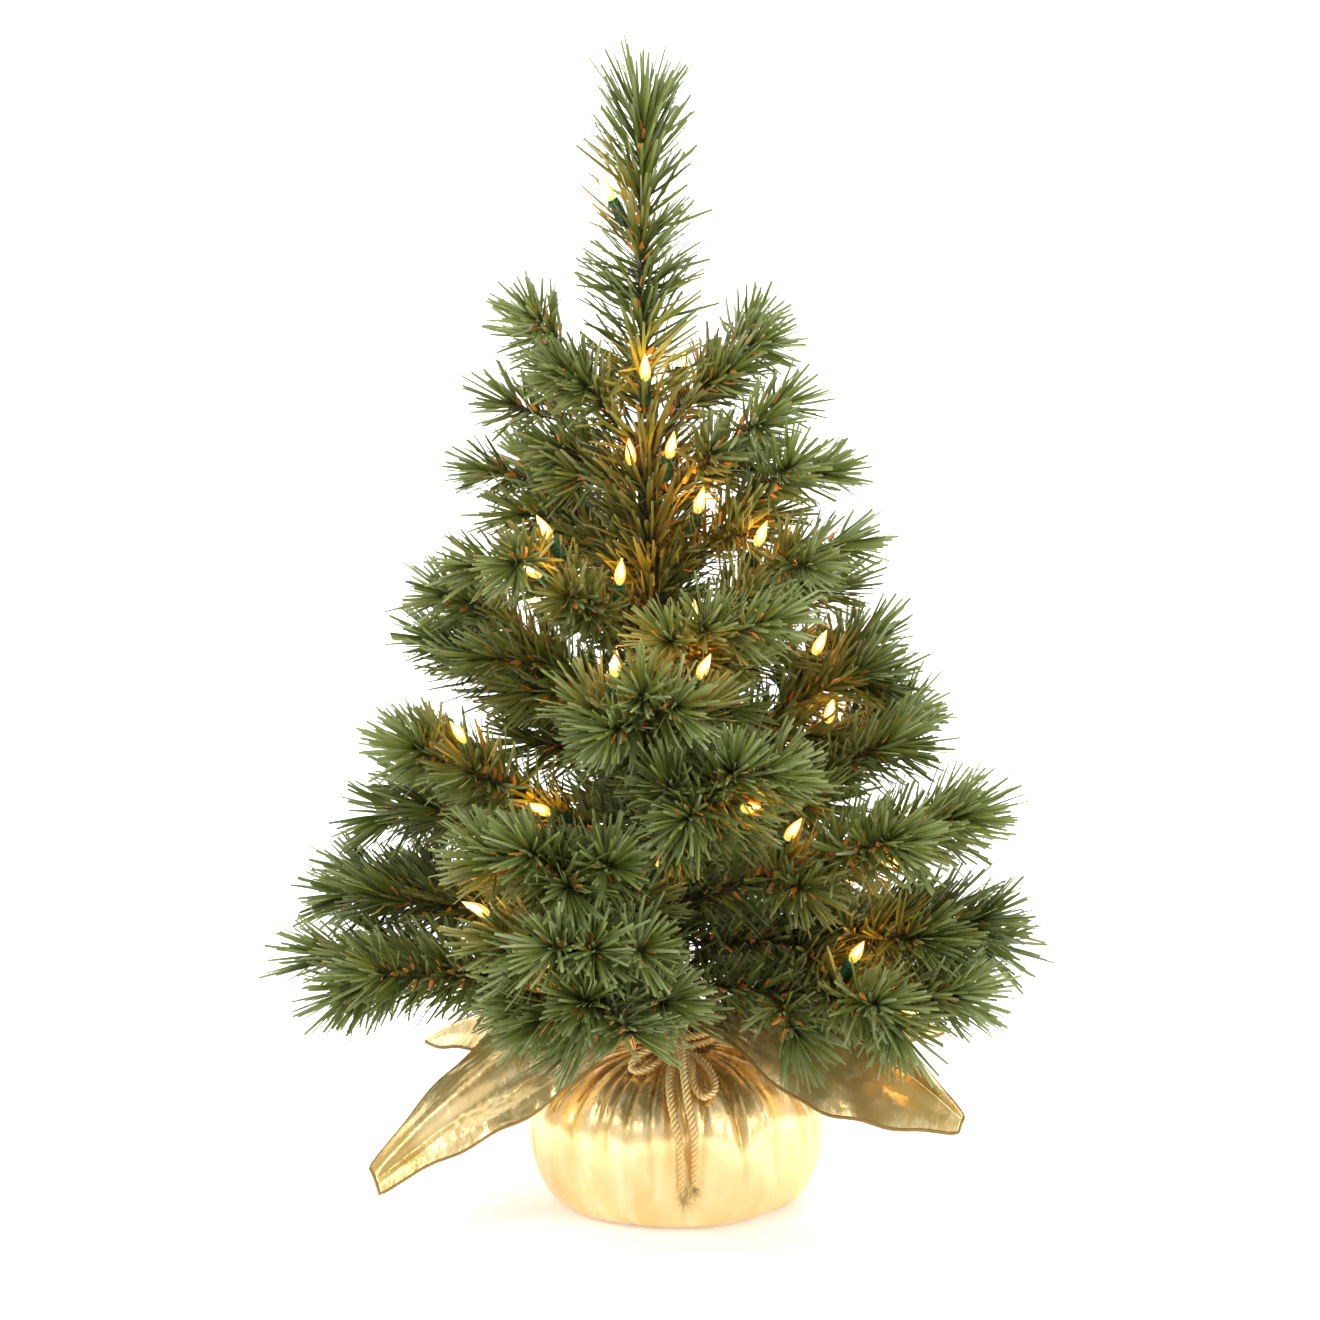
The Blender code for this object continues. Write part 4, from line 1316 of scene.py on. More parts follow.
@dataclass
class Lamps:
    """Every lamp on the tree, with the leads that run back along its branch."""

    branches: Sequence[Branch]
    lamp: Lamp = field(default_factory=Lamp)
    beside: float = 0.0080
    power: float = 0.024
    light_colour: Colour = (1.0, 0.55, 0.19)

    def __post_init__(self) -> None:
        """Works out where every lamp sits."""
        self.spots = [(spot, self.frame_of(spot)) for spot in LAMP_SPOTS]
        self.cad = [(number, self.cad_frame(number, side)) for number, side in CAD_LAMPS]
        frames = [matrix for _, matrix in (*self.spots, *self.cad)]
        self.hearts = np.array([self.lamp.heart(matrix) for matrix in frames])

    def path_of(self, spot: LampSpot) -> Array:
        """The wire that a lamp is clipped to."""
        if spot.branch == 0:
            return leader_path()
        branch = self.branches[spot.branch - 1]
        return branch.stem() if spot.side is Side.MIDDLE else branch.twig(spot.side)

    def frame_of(self, spot: LampSpot) -> Matrix:
        """A lamp's own frame, +Z towards the bulb's tip."""
        path = self.path_of(spot)
        index = int(spot.share * (len(path) - 1))
        place, heading = Vector(path[index]), Vector(directions(path)[index])
        lean = Vector(spot.lean).normalized()
        axis = (lean + heading * 0.15).normalized()
        out = (axis - heading * axis.dot(heading)).normalized()
        turn = axis.to_track_quat("Z", "Y").to_matrix().to_4x4()
        return Matrix.Translation(place + out * self.beside + axis * 0.003) @ turn

    def cad_frame(self, number: int, side: int) -> Matrix:
        """The frame of a lamp that has CAD nodes, on a side of a branch."""
        branch = self.branches[number - 1]
        spot = branch.length * CAD_LAMP_AT
        place = branch.local(spot)
        ahead = (branch.local(spot + 0.014) - place).normalized()
        across = Vector((0.0, side, 0.0))
        rise = across.cross(ahead) * side
        outward = (across + rise * 0.9).normalized()
        tilt = math.radians(24.0)
        axis = (ahead * math.cos(tilt) + outward * math.sin(tilt)).normalized()
        turn = axis.to_track_quat("Z", "Y").to_matrix().to_4x4()
        reach = 0.0046 + GAP * 2 + self.lamp.holder_radius
        return branch.matrix() @ Matrix.Translation(place + outward * reach) @ turn

    def spots_near(self, path: Array, reach: float) -> Array:
        """The lit hearts within reach of a path."""
        gaps = np.linalg.norm(self.hearts[:, None] - path[None], axis=2).min(1)
        return self.hearts[gaps < reach]

    def lead(self, shape: Shape, path: Array, matrix: Matrix, phase: float) -> None:
        """Adds the two leads that wind back along a wire from a lamp to the trunk."""
        tail = matrix.translation
        gaps = np.linalg.norm(path - np.array(tail), axis=1)
        end = max(6, int(gaps.argmin()) - 2)
        for strand in range(2):
            line = helix(path[:end], 0.0019, 0.030, phase + 0.5 * strand, 0.003)
            joined = np.vstack([line[::3], np.array(tail)[None]])
            shape.add(*tube(smooth_route(joined, 0.003), 0.00055, 5), 1)

    def light(self, name: str, matrix: Matrix, body: str) -> None:
        """A small warm light at a bulb's heart."""
        data = bpy.data.lights.new(name, "POINT")
        data.energy = self.power
        data.color = self.light_colour
        data.shadow_soft_size = 0.003
        item = bpy.data.objects.new(name, data)
        bpy.context.scene.collection.objects.link(item)
        item.location = self.lamp.heart(matrix)
        item.visible_glossy = False
        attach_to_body(item, body)

    def finish_pair(
        self,
        holders: Shape,
        bulbs: Shape,
        name: str,
        bodies: tuple[str, str],
        nodes: tuple[Optional[str], Optional[str]] = (None, None),
    ) -> None:
        """Makes the two pieces of a lamp or of a branch's lamps, and sets them riding.

        Args:
            holders: the holders and their leads.
            bulbs: the bulbs.
            name: what both names start with.
            bodies: the bodies of the holders and of the bulbs.
            nodes: the CAD nodes that the two pieces stand for.
        """
        held = holders.build(f"{name}_holder_detail", (HOLDER, LEAD_WIRE))
        lit = bulbs.build(f"{name}_bulb_detail", (HOLDER, GLASS, GLOW, FILAMENT_POST))
        lit.visible_shadow = False
        attach(held, bodies[0], nodes[0])
        attach(lit, bodies[1], nodes[1])

    def build(self) -> None:
        """Builds every lamp, branch by branch."""
        for order, (number, matrix) in enumerate(self.cad, 1):
            holders, bulbs = Shape(), Shape()
            self.lamp.holder(holders, matrix)
            self.lamp.bulb(bulbs, matrix)
            branch = self.branches[number - 1]
            self.lead(holders, branch.stem(), matrix, 1.3 * order)
            bodies = (branch.body, f"lamp_{order}_bulb")
            nodes = (f"lamp_holder_{order}", f"lamp_bulb_{order}")
            self.finish_pair(holders, bulbs, f"lamp_{order}", bodies, nodes)
            self.light(f"lamp_{order}_light", matrix, bodies[1])
            LOG.info("lamp %d on %s", order, branch.name)
        for number in sorted({spot.branch for spot, _ in self.spots}):
            holders, bulbs = Shape(), Shape()
            body = self.branches[number - 1].body if number else "leader_body"
            here = [pair for pair in self.spots if pair[0].branch == number]
            for order, (spot, matrix) in enumerate(here):
                self.lamp.holder(holders, matrix)
                self.lamp.bulb(bulbs, matrix)
                self.lead(holders, self.path_of(spot), matrix, 2.1 * order + number)
                self.light(f"string_light_{number:02d}_{order}", matrix, body)
            self.finish_pair(holders, bulbs, f"string_{number:02d}", (body, body))
            LOG.info("lamps on branch %d", number)


# ---------------------------------------------------------------- bag


@dataclass
class Outline:
    """The bag's side, from the foot's centre up to the neck and the frill above it."""

    foot_radius: float = 0.055
    belly_radius: float = 0.0768
    fullness: float = 0.88
    belly_height: float = 0.0475
    neck_radius: float = 0.0188
    neck_top: float = 0.1009

    def points(self) -> Array:
        """The outline as radius and height."""
        found = [(0.0, 0.0006), (self.foot_radius * 0.5, 0.0006), (self.foot_radius * 0.93, 0.0008)]
        for step in range(1, 13):
            turn = math.pi / 2 * step / 12
            out = self.foot_radius + (self.belly_radius - self.foot_radius) * math.sin(turn)
            found.append((out, 0.0010 + (self.belly_height - 0.0010) * (1 - math.cos(turn))))
        for step in range(1, 19):
            turn = math.pi / 2 * step / 18
            over, up = max(math.cos(turn), 0.0) ** self.fullness, math.sin(turn) ** self.fullness
            out = self.neck_radius + (self.belly_radius - self.neck_radius) * over
            found.append((out, self.belly_height + (NECK_HEIGHT - self.belly_height) * up))
        found += [(self.neck_radius, NECK_HEIGHT + 0.007), (self.neck_radius, self.neck_top - 0.001)]
        found += [(self.neck_radius + 0.0015, self.neck_top + 0.0022), (0.0245, 0.1042)]
        return np.array(found)


@dataclass
class Pleats:
    """Irregular creases that run down from the neck and fade out on the belly."""

    count: int = 42
    seed: int = 7
    lowest: float = 0.010

    def __post_init__(self) -> None:
        """Draws each crease's place, depth, width, length and drift."""
        noise = np.random.default_rng(self.seed)
        place = (np.arange(self.count) + noise.uniform(-0.28, 0.28, self.count)) / self.count
        self.turns = place * math.tau
        self.depths = noise.uniform(0.55, 1.0, self.count)
        self.widths = noise.uniform(0.024, 0.055, self.count)
        self.ends = noise.uniform(0.004, 0.042, self.count)
        self.drifts = noise.normal(0.0, 0.10, self.count)

    def depth(self, turns: Array, heights: Array) -> Array:
        """How far in the cloth goes, in metres, at turns and heights on the bag's side."""
        depth = np.zeros(np.broadcast(turns, heights).shape)
        rise = np.clip((heights - self.lowest) / (NECK_HEIGHT - self.lowest), 0.0, 1.0)
        scale = 0.0032 * rise + 0.0008 * rise**3 + 0.0052 * rise**14
        creases = zip(self.turns, self.depths, self.widths, self.ends, self.drifts)
        for turn, deep, width, end, drift in creases:
            fade = np.clip((heights - end) / 0.022, 0.0, 1.0) ** 1.3
            off = turns - turn - drift * (1.0 - rise)
            off = (off + math.pi) % math.tau - math.pi
            wide = width * (0.55 + 0.45 * (1 - rise))
            depth += deep * scale * fade / (1.0 + (off / wide) ** 2) ** 1.2
        return depth


@dataclass
class ClothRun:
    """A short cloth simulation: the cloth grows a little and buckles between its held edges."""

    frames: int = 22
    grow: float = 0.05
    pressure: float = 0.6
    bending: float = 0.004
    stiffness: float = 12.0
    most: float = 0.006

    def relax(self, grid: Array, held: Array) -> Array:
        """Runs the simulation on a grid whose last column joins its first.

        Args:
            grid: its points, rows by columns by 3.
            held: how firmly each row is held, from 0 to 1.

        Returns:
            The grid after the simulation.
        """
        rows, columns = grid.shape[:2]
        shape = Shape()
        shape.add(grid.reshape(-1, 3), tube_faces(rows, columns)[:-2])
        item = shape.build("cloth_run", ())
        group = item.vertex_groups.new(name="held")
        for row, weight in enumerate(held):
            group.add(list(range(row * columns, (row + 1) * columns)), float(weight), "REPLACE")
        cloth = item.modifiers.new("cloth", "CLOTH")
        rules = cloth.settings
        rules.quality = 7
        rules.mass = 0.05
        rules.air_damping = 4.0
        rules.tension_stiffness = rules.compression_stiffness = self.stiffness
        rules.shear_stiffness = self.stiffness * 0.4
        rules.bending_stiffness = self.bending
        rules.shrink_min = -self.grow
        rules.use_pressure = True
        rules.uniform_pressure_force = self.pressure
        rules.vertex_group_mass = "held"
        rules.effector_weights.gravity = 0.0
        cloth.collision_settings.use_collision = False
        cloth.point_cache.frame_start, cloth.point_cache.frame_end = 1, self.frames
        scene = bpy.context.scene
        for step in range(1, self.frames + 1):
            scene.frame_set(step)
        moved = np.zeros(grid.size)
        final = item.evaluated_get(bpy.context.evaluated_depsgraph_get()).data
        final.vertices.foreach_get("co", moved)
        scene.frame_set(1)
        bpy.data.objects.remove(item)
        shift = moved.reshape(grid.shape) - grid
        reach = np.linalg.norm(shift, axis=2, keepdims=True)
        return grid + shift * np.minimum(1.0, self.most / np.maximum(reach, 1e-9))


@dataclass
class Pouch:
    """The gathered cloth round the weight."""

    outline: Outline = field(default_factory=Outline)
    pleats: Pleats = field(default_factory=Pleats)
    folds: ClothRun = field(default_factory=ClothRun)
    columns: int = 288
    rows: int = 84
    reach_rows: int = 11
    cloth: float = 0.0006
    flat_width: float = 0.34

    def surface(self) -> Array:
        """The cloth's outer face as a grid of points, rows by columns."""
        flat = self.outline.points()
        flat = resampled(np.c_[flat, np.zeros(len(flat))], 0.0005)
        along = distances(flat)
        where = np.linspace(0.0, 1.0, self.rows) ** 0.9 * along[-1]
        radii = np.interp(where, along, flat[:, 0])[:, None]
        heights = np.interp(where, along, flat[:, 1])[:, None]
        turns = (np.arange(self.columns) * math.tau / self.columns)[None]
        depth = self.pleats.depth(turns, heights)
        # Painted shade: how much darker amber is painted into each crease valley, from the crease's
        # depth.
        self.creases = np.clip(depth / 0.0016 - 0.15, 0.0, 1.0) * 0.7
        level = np.clip((NECK_HEIGHT - 0.010 - heights) / 0.02, 0.0, 1.0)
        depth = depth - depth.mean(1, keepdims=True) * level
        sag = 0.0011 * np.sin(2 * turns + 0.7) + 0.0009 * np.sin(5 * turns + 2.0 + 20 * heights)
        sag = sag + 0.0036 * np.cos(turns) ** 2
        mid = np.clip(radii / 0.03, 0.0, 1.0) * np.clip((NECK_HEIGHT - heights) / 0.03, 0.0, 1.0)
        soft = 0.0003 * np.sin(9 * turns + 60 * heights) * np.sin(70 * heights + 3 * turns)
        least = 0.0062 * np.clip(heights / 0.05, 0.0, 1.0)
        out = np.maximum(radii - depth + (sag + soft - 0.0011) * mid, least)
        ruffle = np.clip((heights - self.outline.neck_top) / 0.004, 0.0, 1.0)
        out = out + ruffle * 0.0022 * np.sin(17 * turns + 1.0)
        lift = heights - 0.35 * depth * np.clip((heights - 0.05) / 0.03, 0.0, 1.0) * (1 - ruffle)
        return np.stack([out * np.cos(turns), out * np.sin(turns), lift], 2)

    def upright(self, shift: Array, height: Array) -> Array:
        """The part of a shift of the cloth that makes folds which run up and down.

        Args:
            shift: how far each point moves, rows by columns by 3.
            height: each row's height.

        Returns:
            The shift, evened out up and down, and calm near the foot.
        """
        weights = np.hanning(2 * self.reach_rows + 1)
        weights = weights / weights.sum()
        padded = np.pad(shift, ((self.reach_rows, self.reach_rows), (0, 0), (0, 0)), "edge")
        rows = len(shift)
        evened = sum(weight * padded[step : step + rows] for step, weight in enumerate(weights))
        turns = np.arange(self.columns) * math.tau / self.columns
        out = np.stack([np.cos(turns), np.sin(turns), 0 * turns], 1)[None]
        swell = (evened * out).sum(2).mean(1)[:, None, None]
        calm = 0.2 + 0.8 * np.clip((height - 0.012) / 0.036, 0.0, 1.0)
        return (evened - 0.8 * swell * out) * calm[:, None, None]

    def build(self) -> None:
        """Builds the pouch as a thin closed sheet, gathered at the neck."""
        outer = self.surface()
        height = outer[:, :, 2].mean(1)
        tied = np.clip((height - 0.084) / 0.004, 0.0, 1.0)
        standing = np.clip((0.014 - height) / 0.006, 0.0, 1.0)
        relaxed = self.folds.relax(outer, np.maximum(tied, standing))
        outer = outer + self.upright(relaxed - outer, height)
        outer[:, :, 2] = np.maximum(outer[:, :, 2], 0.0006)
        piece = closed_sheet("gathered_pouch", outer, self.cloth, POUCH_CLOTH, True, self.creases)
        attach(piece, BASE_BODY, "gold_bag")
        LOG.info("%s: %.4f square metres of cloth", piece.name, sheet_area(outer, True))


def grid_normals(grid: Array, wrap: bool) -> Array:
    """The normals of a grid of points, rows by columns."""
    down = np.gradient(grid, axis=0)
    if wrap:
        over = np.roll(grid, -1, 1) - np.roll(grid, 1, 1)
    else:
        over = np.gradient(grid, axis=1)
    return unit(np.cross(over, down))


def sheet_area(grid: Array, wrap: bool) -> float:
    """The area of a grid of points."""
    across = np.roll(grid, -1, 1) if wrap else grid[:, 1:]
    near = grid if wrap else grid[:, :-1]
    over, down = across[:-1] - near[:-1], near[1:] - near[:-1]
    return float(np.linalg.norm(np.cross(over, down), axis=2).sum())


def closed_sheet(
    name: str, grid: Array, thickness: float, finish: Finish, wrap: bool, shade: Array
) -> bpy.types.Object:
    """A thin closed sheet from a grid of points on its outer face.

    Args:
        name: the piece's name.
        grid: its points, rows by columns by 3.
        thickness: the cloth's thickness.
        finish: its finish.
        wrap: whether its last column joins its first.
        shade: how much of the finish's darker colour is painted at each point, rows by columns:
            painted shade in the pouch's creases, painted dark reflections on the corners.

    Returns:
        The piece.
    """
    rows, columns = grid.shape[:2]
    inner = grid - grid_normals(grid, wrap) * thickness
    faces: Faces = []
    layer = rows * columns
    over = range(columns if wrap else columns - 1)
    for row in range(rows - 1):
        for column in over:
            after = (column + 1) % columns
            a, b = row * columns + column, row * columns + after
            faces.append((a, b, b + columns, a + columns))
            faces.append((layer + a, layer + a + columns, layer + b + columns, layer + b))
    for column in over:
        after = (column + 1) % columns
        last = (rows - 1) * columns
        faces.append((column, layer + column, layer + after, after))
        faces.append((last + column, last + after, layer + last + after, layer + last + column))
    if not wrap:
        for row in range(rows - 1):
            for edge, flip in ((0, False), (columns - 1, True)):
                a, b = row * columns + edge, (row + 1) * columns + edge
                face = (a, b, layer + b, layer + a)
                faces.append(face[::-1] if flip else face)
    shape = Shape()
    # The painted shade and painted dark reflections go on both faces.
    paint = np.repeat(np.tile(shade.ravel(), 2)[:, None], 3, 1)
    shape.add(np.concatenate([grid.reshape(-1, 3), inner.reshape(-1, 3)]), faces, paint=paint)
    return shape.build(name, (finish,), painted=True)


# The ranges of a crinkle's sway: how far across, in radians along the cloth, and its phase.
CRINKLE_SWAY = ((0.05, 0.18), (2.0, 5.0), (0.0, 6.0))


@dataclass
class Corner:
    """One corner of the cloth: a leaf from the neck that droops outwards, with a stitched hem."""

    name: str
    turn_deg: float
    reach: float
    drop: float
    twist_deg: float
    root_deg: float
    folds: tuple[tuple[float, float, float], ...]
    blunt: float = 0.0
    wide: float = 0.044
    # Patches of painted dark reflection: their middle and half-length along the leaf, and their place
    # and half-width across it.
    painted_reflections: tuple[tuple[float, float, float, float], ...] = ()
    steps: int = 120
    across: int = 73
    start: float = 0.0239
    height: float = 0.1024

    def half_width(self, share: Array) -> Array:
        """Half the width at a share of the way to the tip."""
        ends = 0.012 * (1 - share) + self.blunt * share**9
        leaf = self.wide * np.sin(math.pi * np.clip(share, 0.0, 1.0)) ** 0.8
        return np.maximum((ends + leaf) / 2, 0.0009)

    def creases(self, share: Array, across: Array) -> Array:
        """How far up the cloth goes where it is folded lengthwise and crinkled, in metres."""
        noise = np.random.default_rng(int(self.turn_deg))
        fold = np.zeros(np.broadcast(share, across).shape)
        for place, width, depth in self.folds:
            bend = place + 0.12 * np.sin(3.2 * share + 4 * place)
            fold += depth * np.exp(-(((across - bend) / width) ** 2))
        for _ in range(11):
            place, width = noise.uniform(-0.95, 0.95), noise.uniform(0.07, 0.16)
            sway, waves, phase = (noise.uniform(*ends) for ends in CRINKLE_SWAY)
            bend = place + sway * np.sin(waves * share + phase)
            middle, length = noise.uniform(0.1, 0.9), noise.uniform(0.15, 0.4)
            depth = noise.choice((-1.0, 1.0)) * noise.uniform(0.0003, 0.0009)
            reach = np.exp(-(((share - middle) / length) ** 2))
            fold += depth * reach / (1.0 + ((across - bend) / width) ** 2) ** 1.5
        return fold

    def shade(self) -> Array:
        """How dark the cloth is painted at each point of its grid, from its patches of painted dark
        reflection.
        """
        share = np.linspace(0.0, 1.0, self.steps)[:, None]
        across = np.linspace(-1.0, 1.0, self.across)[None]
        dark = np.zeros((self.steps, self.across))
        for middle, length, place, width in self.painted_reflections:
            drift = place + 0.10 * np.sin(7.0 * share)
            reflection_patch = 1.0 / (1.0 + ((share - middle) / length) ** 10 + ((across - drift) / width) ** 10)
            dark = np.maximum(dark, reflection_patch)
        return dark

    def surface(self) -> Array:
        """The cloth's upper face as a grid of points, in the tree's frame."""
        share = np.linspace(0.0, 1.0, self.steps)[:, None]
        across = np.linspace(-1.0, 1.0, self.across)[None]
        half = self.half_width(share)
        twist = np.radians(self.twist_deg) * np.minimum(share / 0.4, 1.0)
        along = self.start + (self.reach - self.start) * share + 0.0 * across
        centre = self.height + 0.004 * np.sin(math.pi * share) - self.drop * share**1.7
        body = np.sin(math.pi * share) ** 0.6
        fold = self.creases(share, across)
        ripple = 0.0011 * np.sin(26 * share + 5 * across + self.turn_deg) * np.abs(across) ** 1.5
        pucker = 0.0012 * np.sin(across * 15 + self.turn_deg) * (1 - share) ** 4
        width = half * across
        lift = width * np.sin(twist) - 0.22 * half * across**2 + (fold + ripple) * body + pucker
        sideways = width * np.cos(twist) + 0.6 * fold * body
        leaf = np.stack([along, sideways, centre + lift], 2)
        spread = across * math.radians(self.root_deg)
        neck_radius = 0.0203 + 0.0006 * np.sin(across * 17)
        neck_height = 0.0998 + 0.0008 * np.cos(across * 17)
        neck = np.stack([neck_radius * np.cos(spread), neck_radius * np.sin(spread), neck_height], 2)
        blend = np.clip(1 - share / 0.13, 0.0, 1.0)[..., None] ** 1.4
        grid = leaf * (1 - blend) + neck * blend
        turn = Matrix.Rotation(math.radians(self.turn_deg), 4, "Z")
        return placed(grid.reshape(-1, 3), turn).reshape(grid.shape)

    def hem(self, grid: Array) -> bpy.types.Object:
        """The hem: a rolled edge with thread wound over it."""
        start = int(0.10 * self.steps)
        edge = np.vstack([grid[start:, 0], grid[-1, 1:-1], grid[start:, -1][::-1]])
        edge = resampled(edge, 0.0016)
        shape = Shape()
        shape.add(*tube(edge, 0.0011, 6, 0.7))
        shape.add(*tube(helix(edge, 0.00115, 0.0022, 0.0, 0.0005), 0.00025, 3))
        return shape.build(f"{self.name}_hem", (HEM_THREAD,))

    def build(self) -> None:
        """Builds the cloth and its hem."""
        grid = self.surface()
        shade = self.shade()
        piece = closed_sheet(f"{self.name}_cloth", grid, 0.0007, CORNER_CLOTH, False, shade)
        attach(piece, BASE_BODY, self.name)
        hem = self.hem(grid)
        attach(hem, BASE_BODY)
        area = sheet_area(grid, False)


CORNERS = (
    Corner(
        "bag_corner_front_left",
        207.0,
        0.176,
        0.066,
        -38.0,
        36.0,
        ((-0.30, 0.34, 0.0034), (0.38, 0.24, -0.0034)),
        blunt=0.016,
        wide=0.047,
        # Painted dark reflection on the folded-back tip.
        painted_reflections=((0.97, 0.13, -0.2, 1.3),),
    ),
    Corner(
        "bag_corner_front_right",
        335.0,
        0.163,
        0.040,
        34.0,
        36.0,
        ((-0.10, 0.16, 0.0064), (0.50, 0.30, -0.0036)),
        blunt=0.010,
        wide=0.060,
        # Painted dark reflection along the upper side, from near the neck towards the tip.
        painted_reflections=((0.52, 0.46, 0.36, 0.40),),
    ),
    Corner(
        "bag_corner_back_left",
        152.0,
        0.160,
        0.036,
        -28.0,
        24.0,
        ((0.20, 0.20, 0.0045), (-0.55, 0.18, -0.003)),
    ),
    Corner(
        "bag_corner_back_right",
        28.0,
        0.172,
        0.032,
        26.0,
        24.0,
        ((-0.20, 0.2, 0.0045), (0.5, 0.2, -0.003)),
    ),
)


# ---------------------------------------------------------------- tie


@dataclass
class TwistedCord:
    """Three strands of metallic yarn laid into a cord."""

    diameter: float = CORD_DIAMETER
    strands: int = 3
    pitch: float = 0.0085
    sides: int = 9
    step: float = 0.0011

    def add_to(self, shape: Shape, path: Array, bound: bool = True) -> None:
        """Adds the strands along a path.

        Args:
            shape: what they are added to.
            path: the cord's centre line.
            bound: whether each strand's ends are drawn in.
        """
        strand = self.diameter / 2 / THREE_ROUND
        for index in range(self.strands):
            phase = math.tau * index / self.strands
            line = helix(path, strand * 1.155, self.pitch, phase, self.step)
            radii = np.full(len(line), strand * 1.04)
            if bound:
                radii[0] = radii[-1] = strand * 0.6
            shape.add(*tube(line, radii, self.sides))


@dataclass(frozen=True)
class Plan:
    """The route of a loop or a tail of the bow.

    It has an offset from the knot in cord diameters, places on the bag's side and, for a loop, an
    offset back to the knot. A place is a turn in degrees from the front to the right, a share up
    the side, and how many diameters it is off the side.
    """

    leave: tuple[float, float, float]
    lays: tuple[tuple[float, float, float], ...]
    back: Optional[tuple[float, float, float]] = None


BOW = {
    "bow_loop_left": Plan(
        (-1.16, -0.79, -0.19),
        (
            *((-18.0, 0.852, 2.2), (-26.0, 0.809, 1.9), (-28.0, 0.764, 1.3)),
            *((-23.0, 0.754, 1.0), (-16.0, 0.791, 1.0)),
        ),
        (-1.44, -1.57, -0.92),
    ),
    "bow_loop_right": Plan(
        (1.24, -0.79, -0.41),
        (
            *((16.5, 0.818, 1.2), (19.0, 0.723, 1.2), (17.0, 0.652, 1.3)),
            *((11.0, 0.636, 1.3), (8.0, 0.701, 1.2), (9.5, 0.793, 1.1)),
        ),
        (1.33, -1.61, -0.88),
    ),
    "bow_tail_left": Plan(
        (-0.22, -1.57, -0.63),
        (
            *((-3.0, 0.809, 1.3), (-4.0, 0.719, 1.4), (-3.0, 0.623, 1.3)),
            *((-1.0, 0.538, 1.1), (1.0, 0.445, 0.9), (2.0, 0.26, 0.8)),
        ),
    ),
    "bow_tail_right": Plan(
        (0.11, -1.12, 0.92),
        (
            *((2.0, 0.841, 3.2), (2.7, 0.768, 3.0), (3.2, 0.677, 2.7)),
            *((4.5, 0.572, 2.1), (6.2, 0.489, 1.3), (6.5, 0.3, 0.9)),
        ),
    ),
}


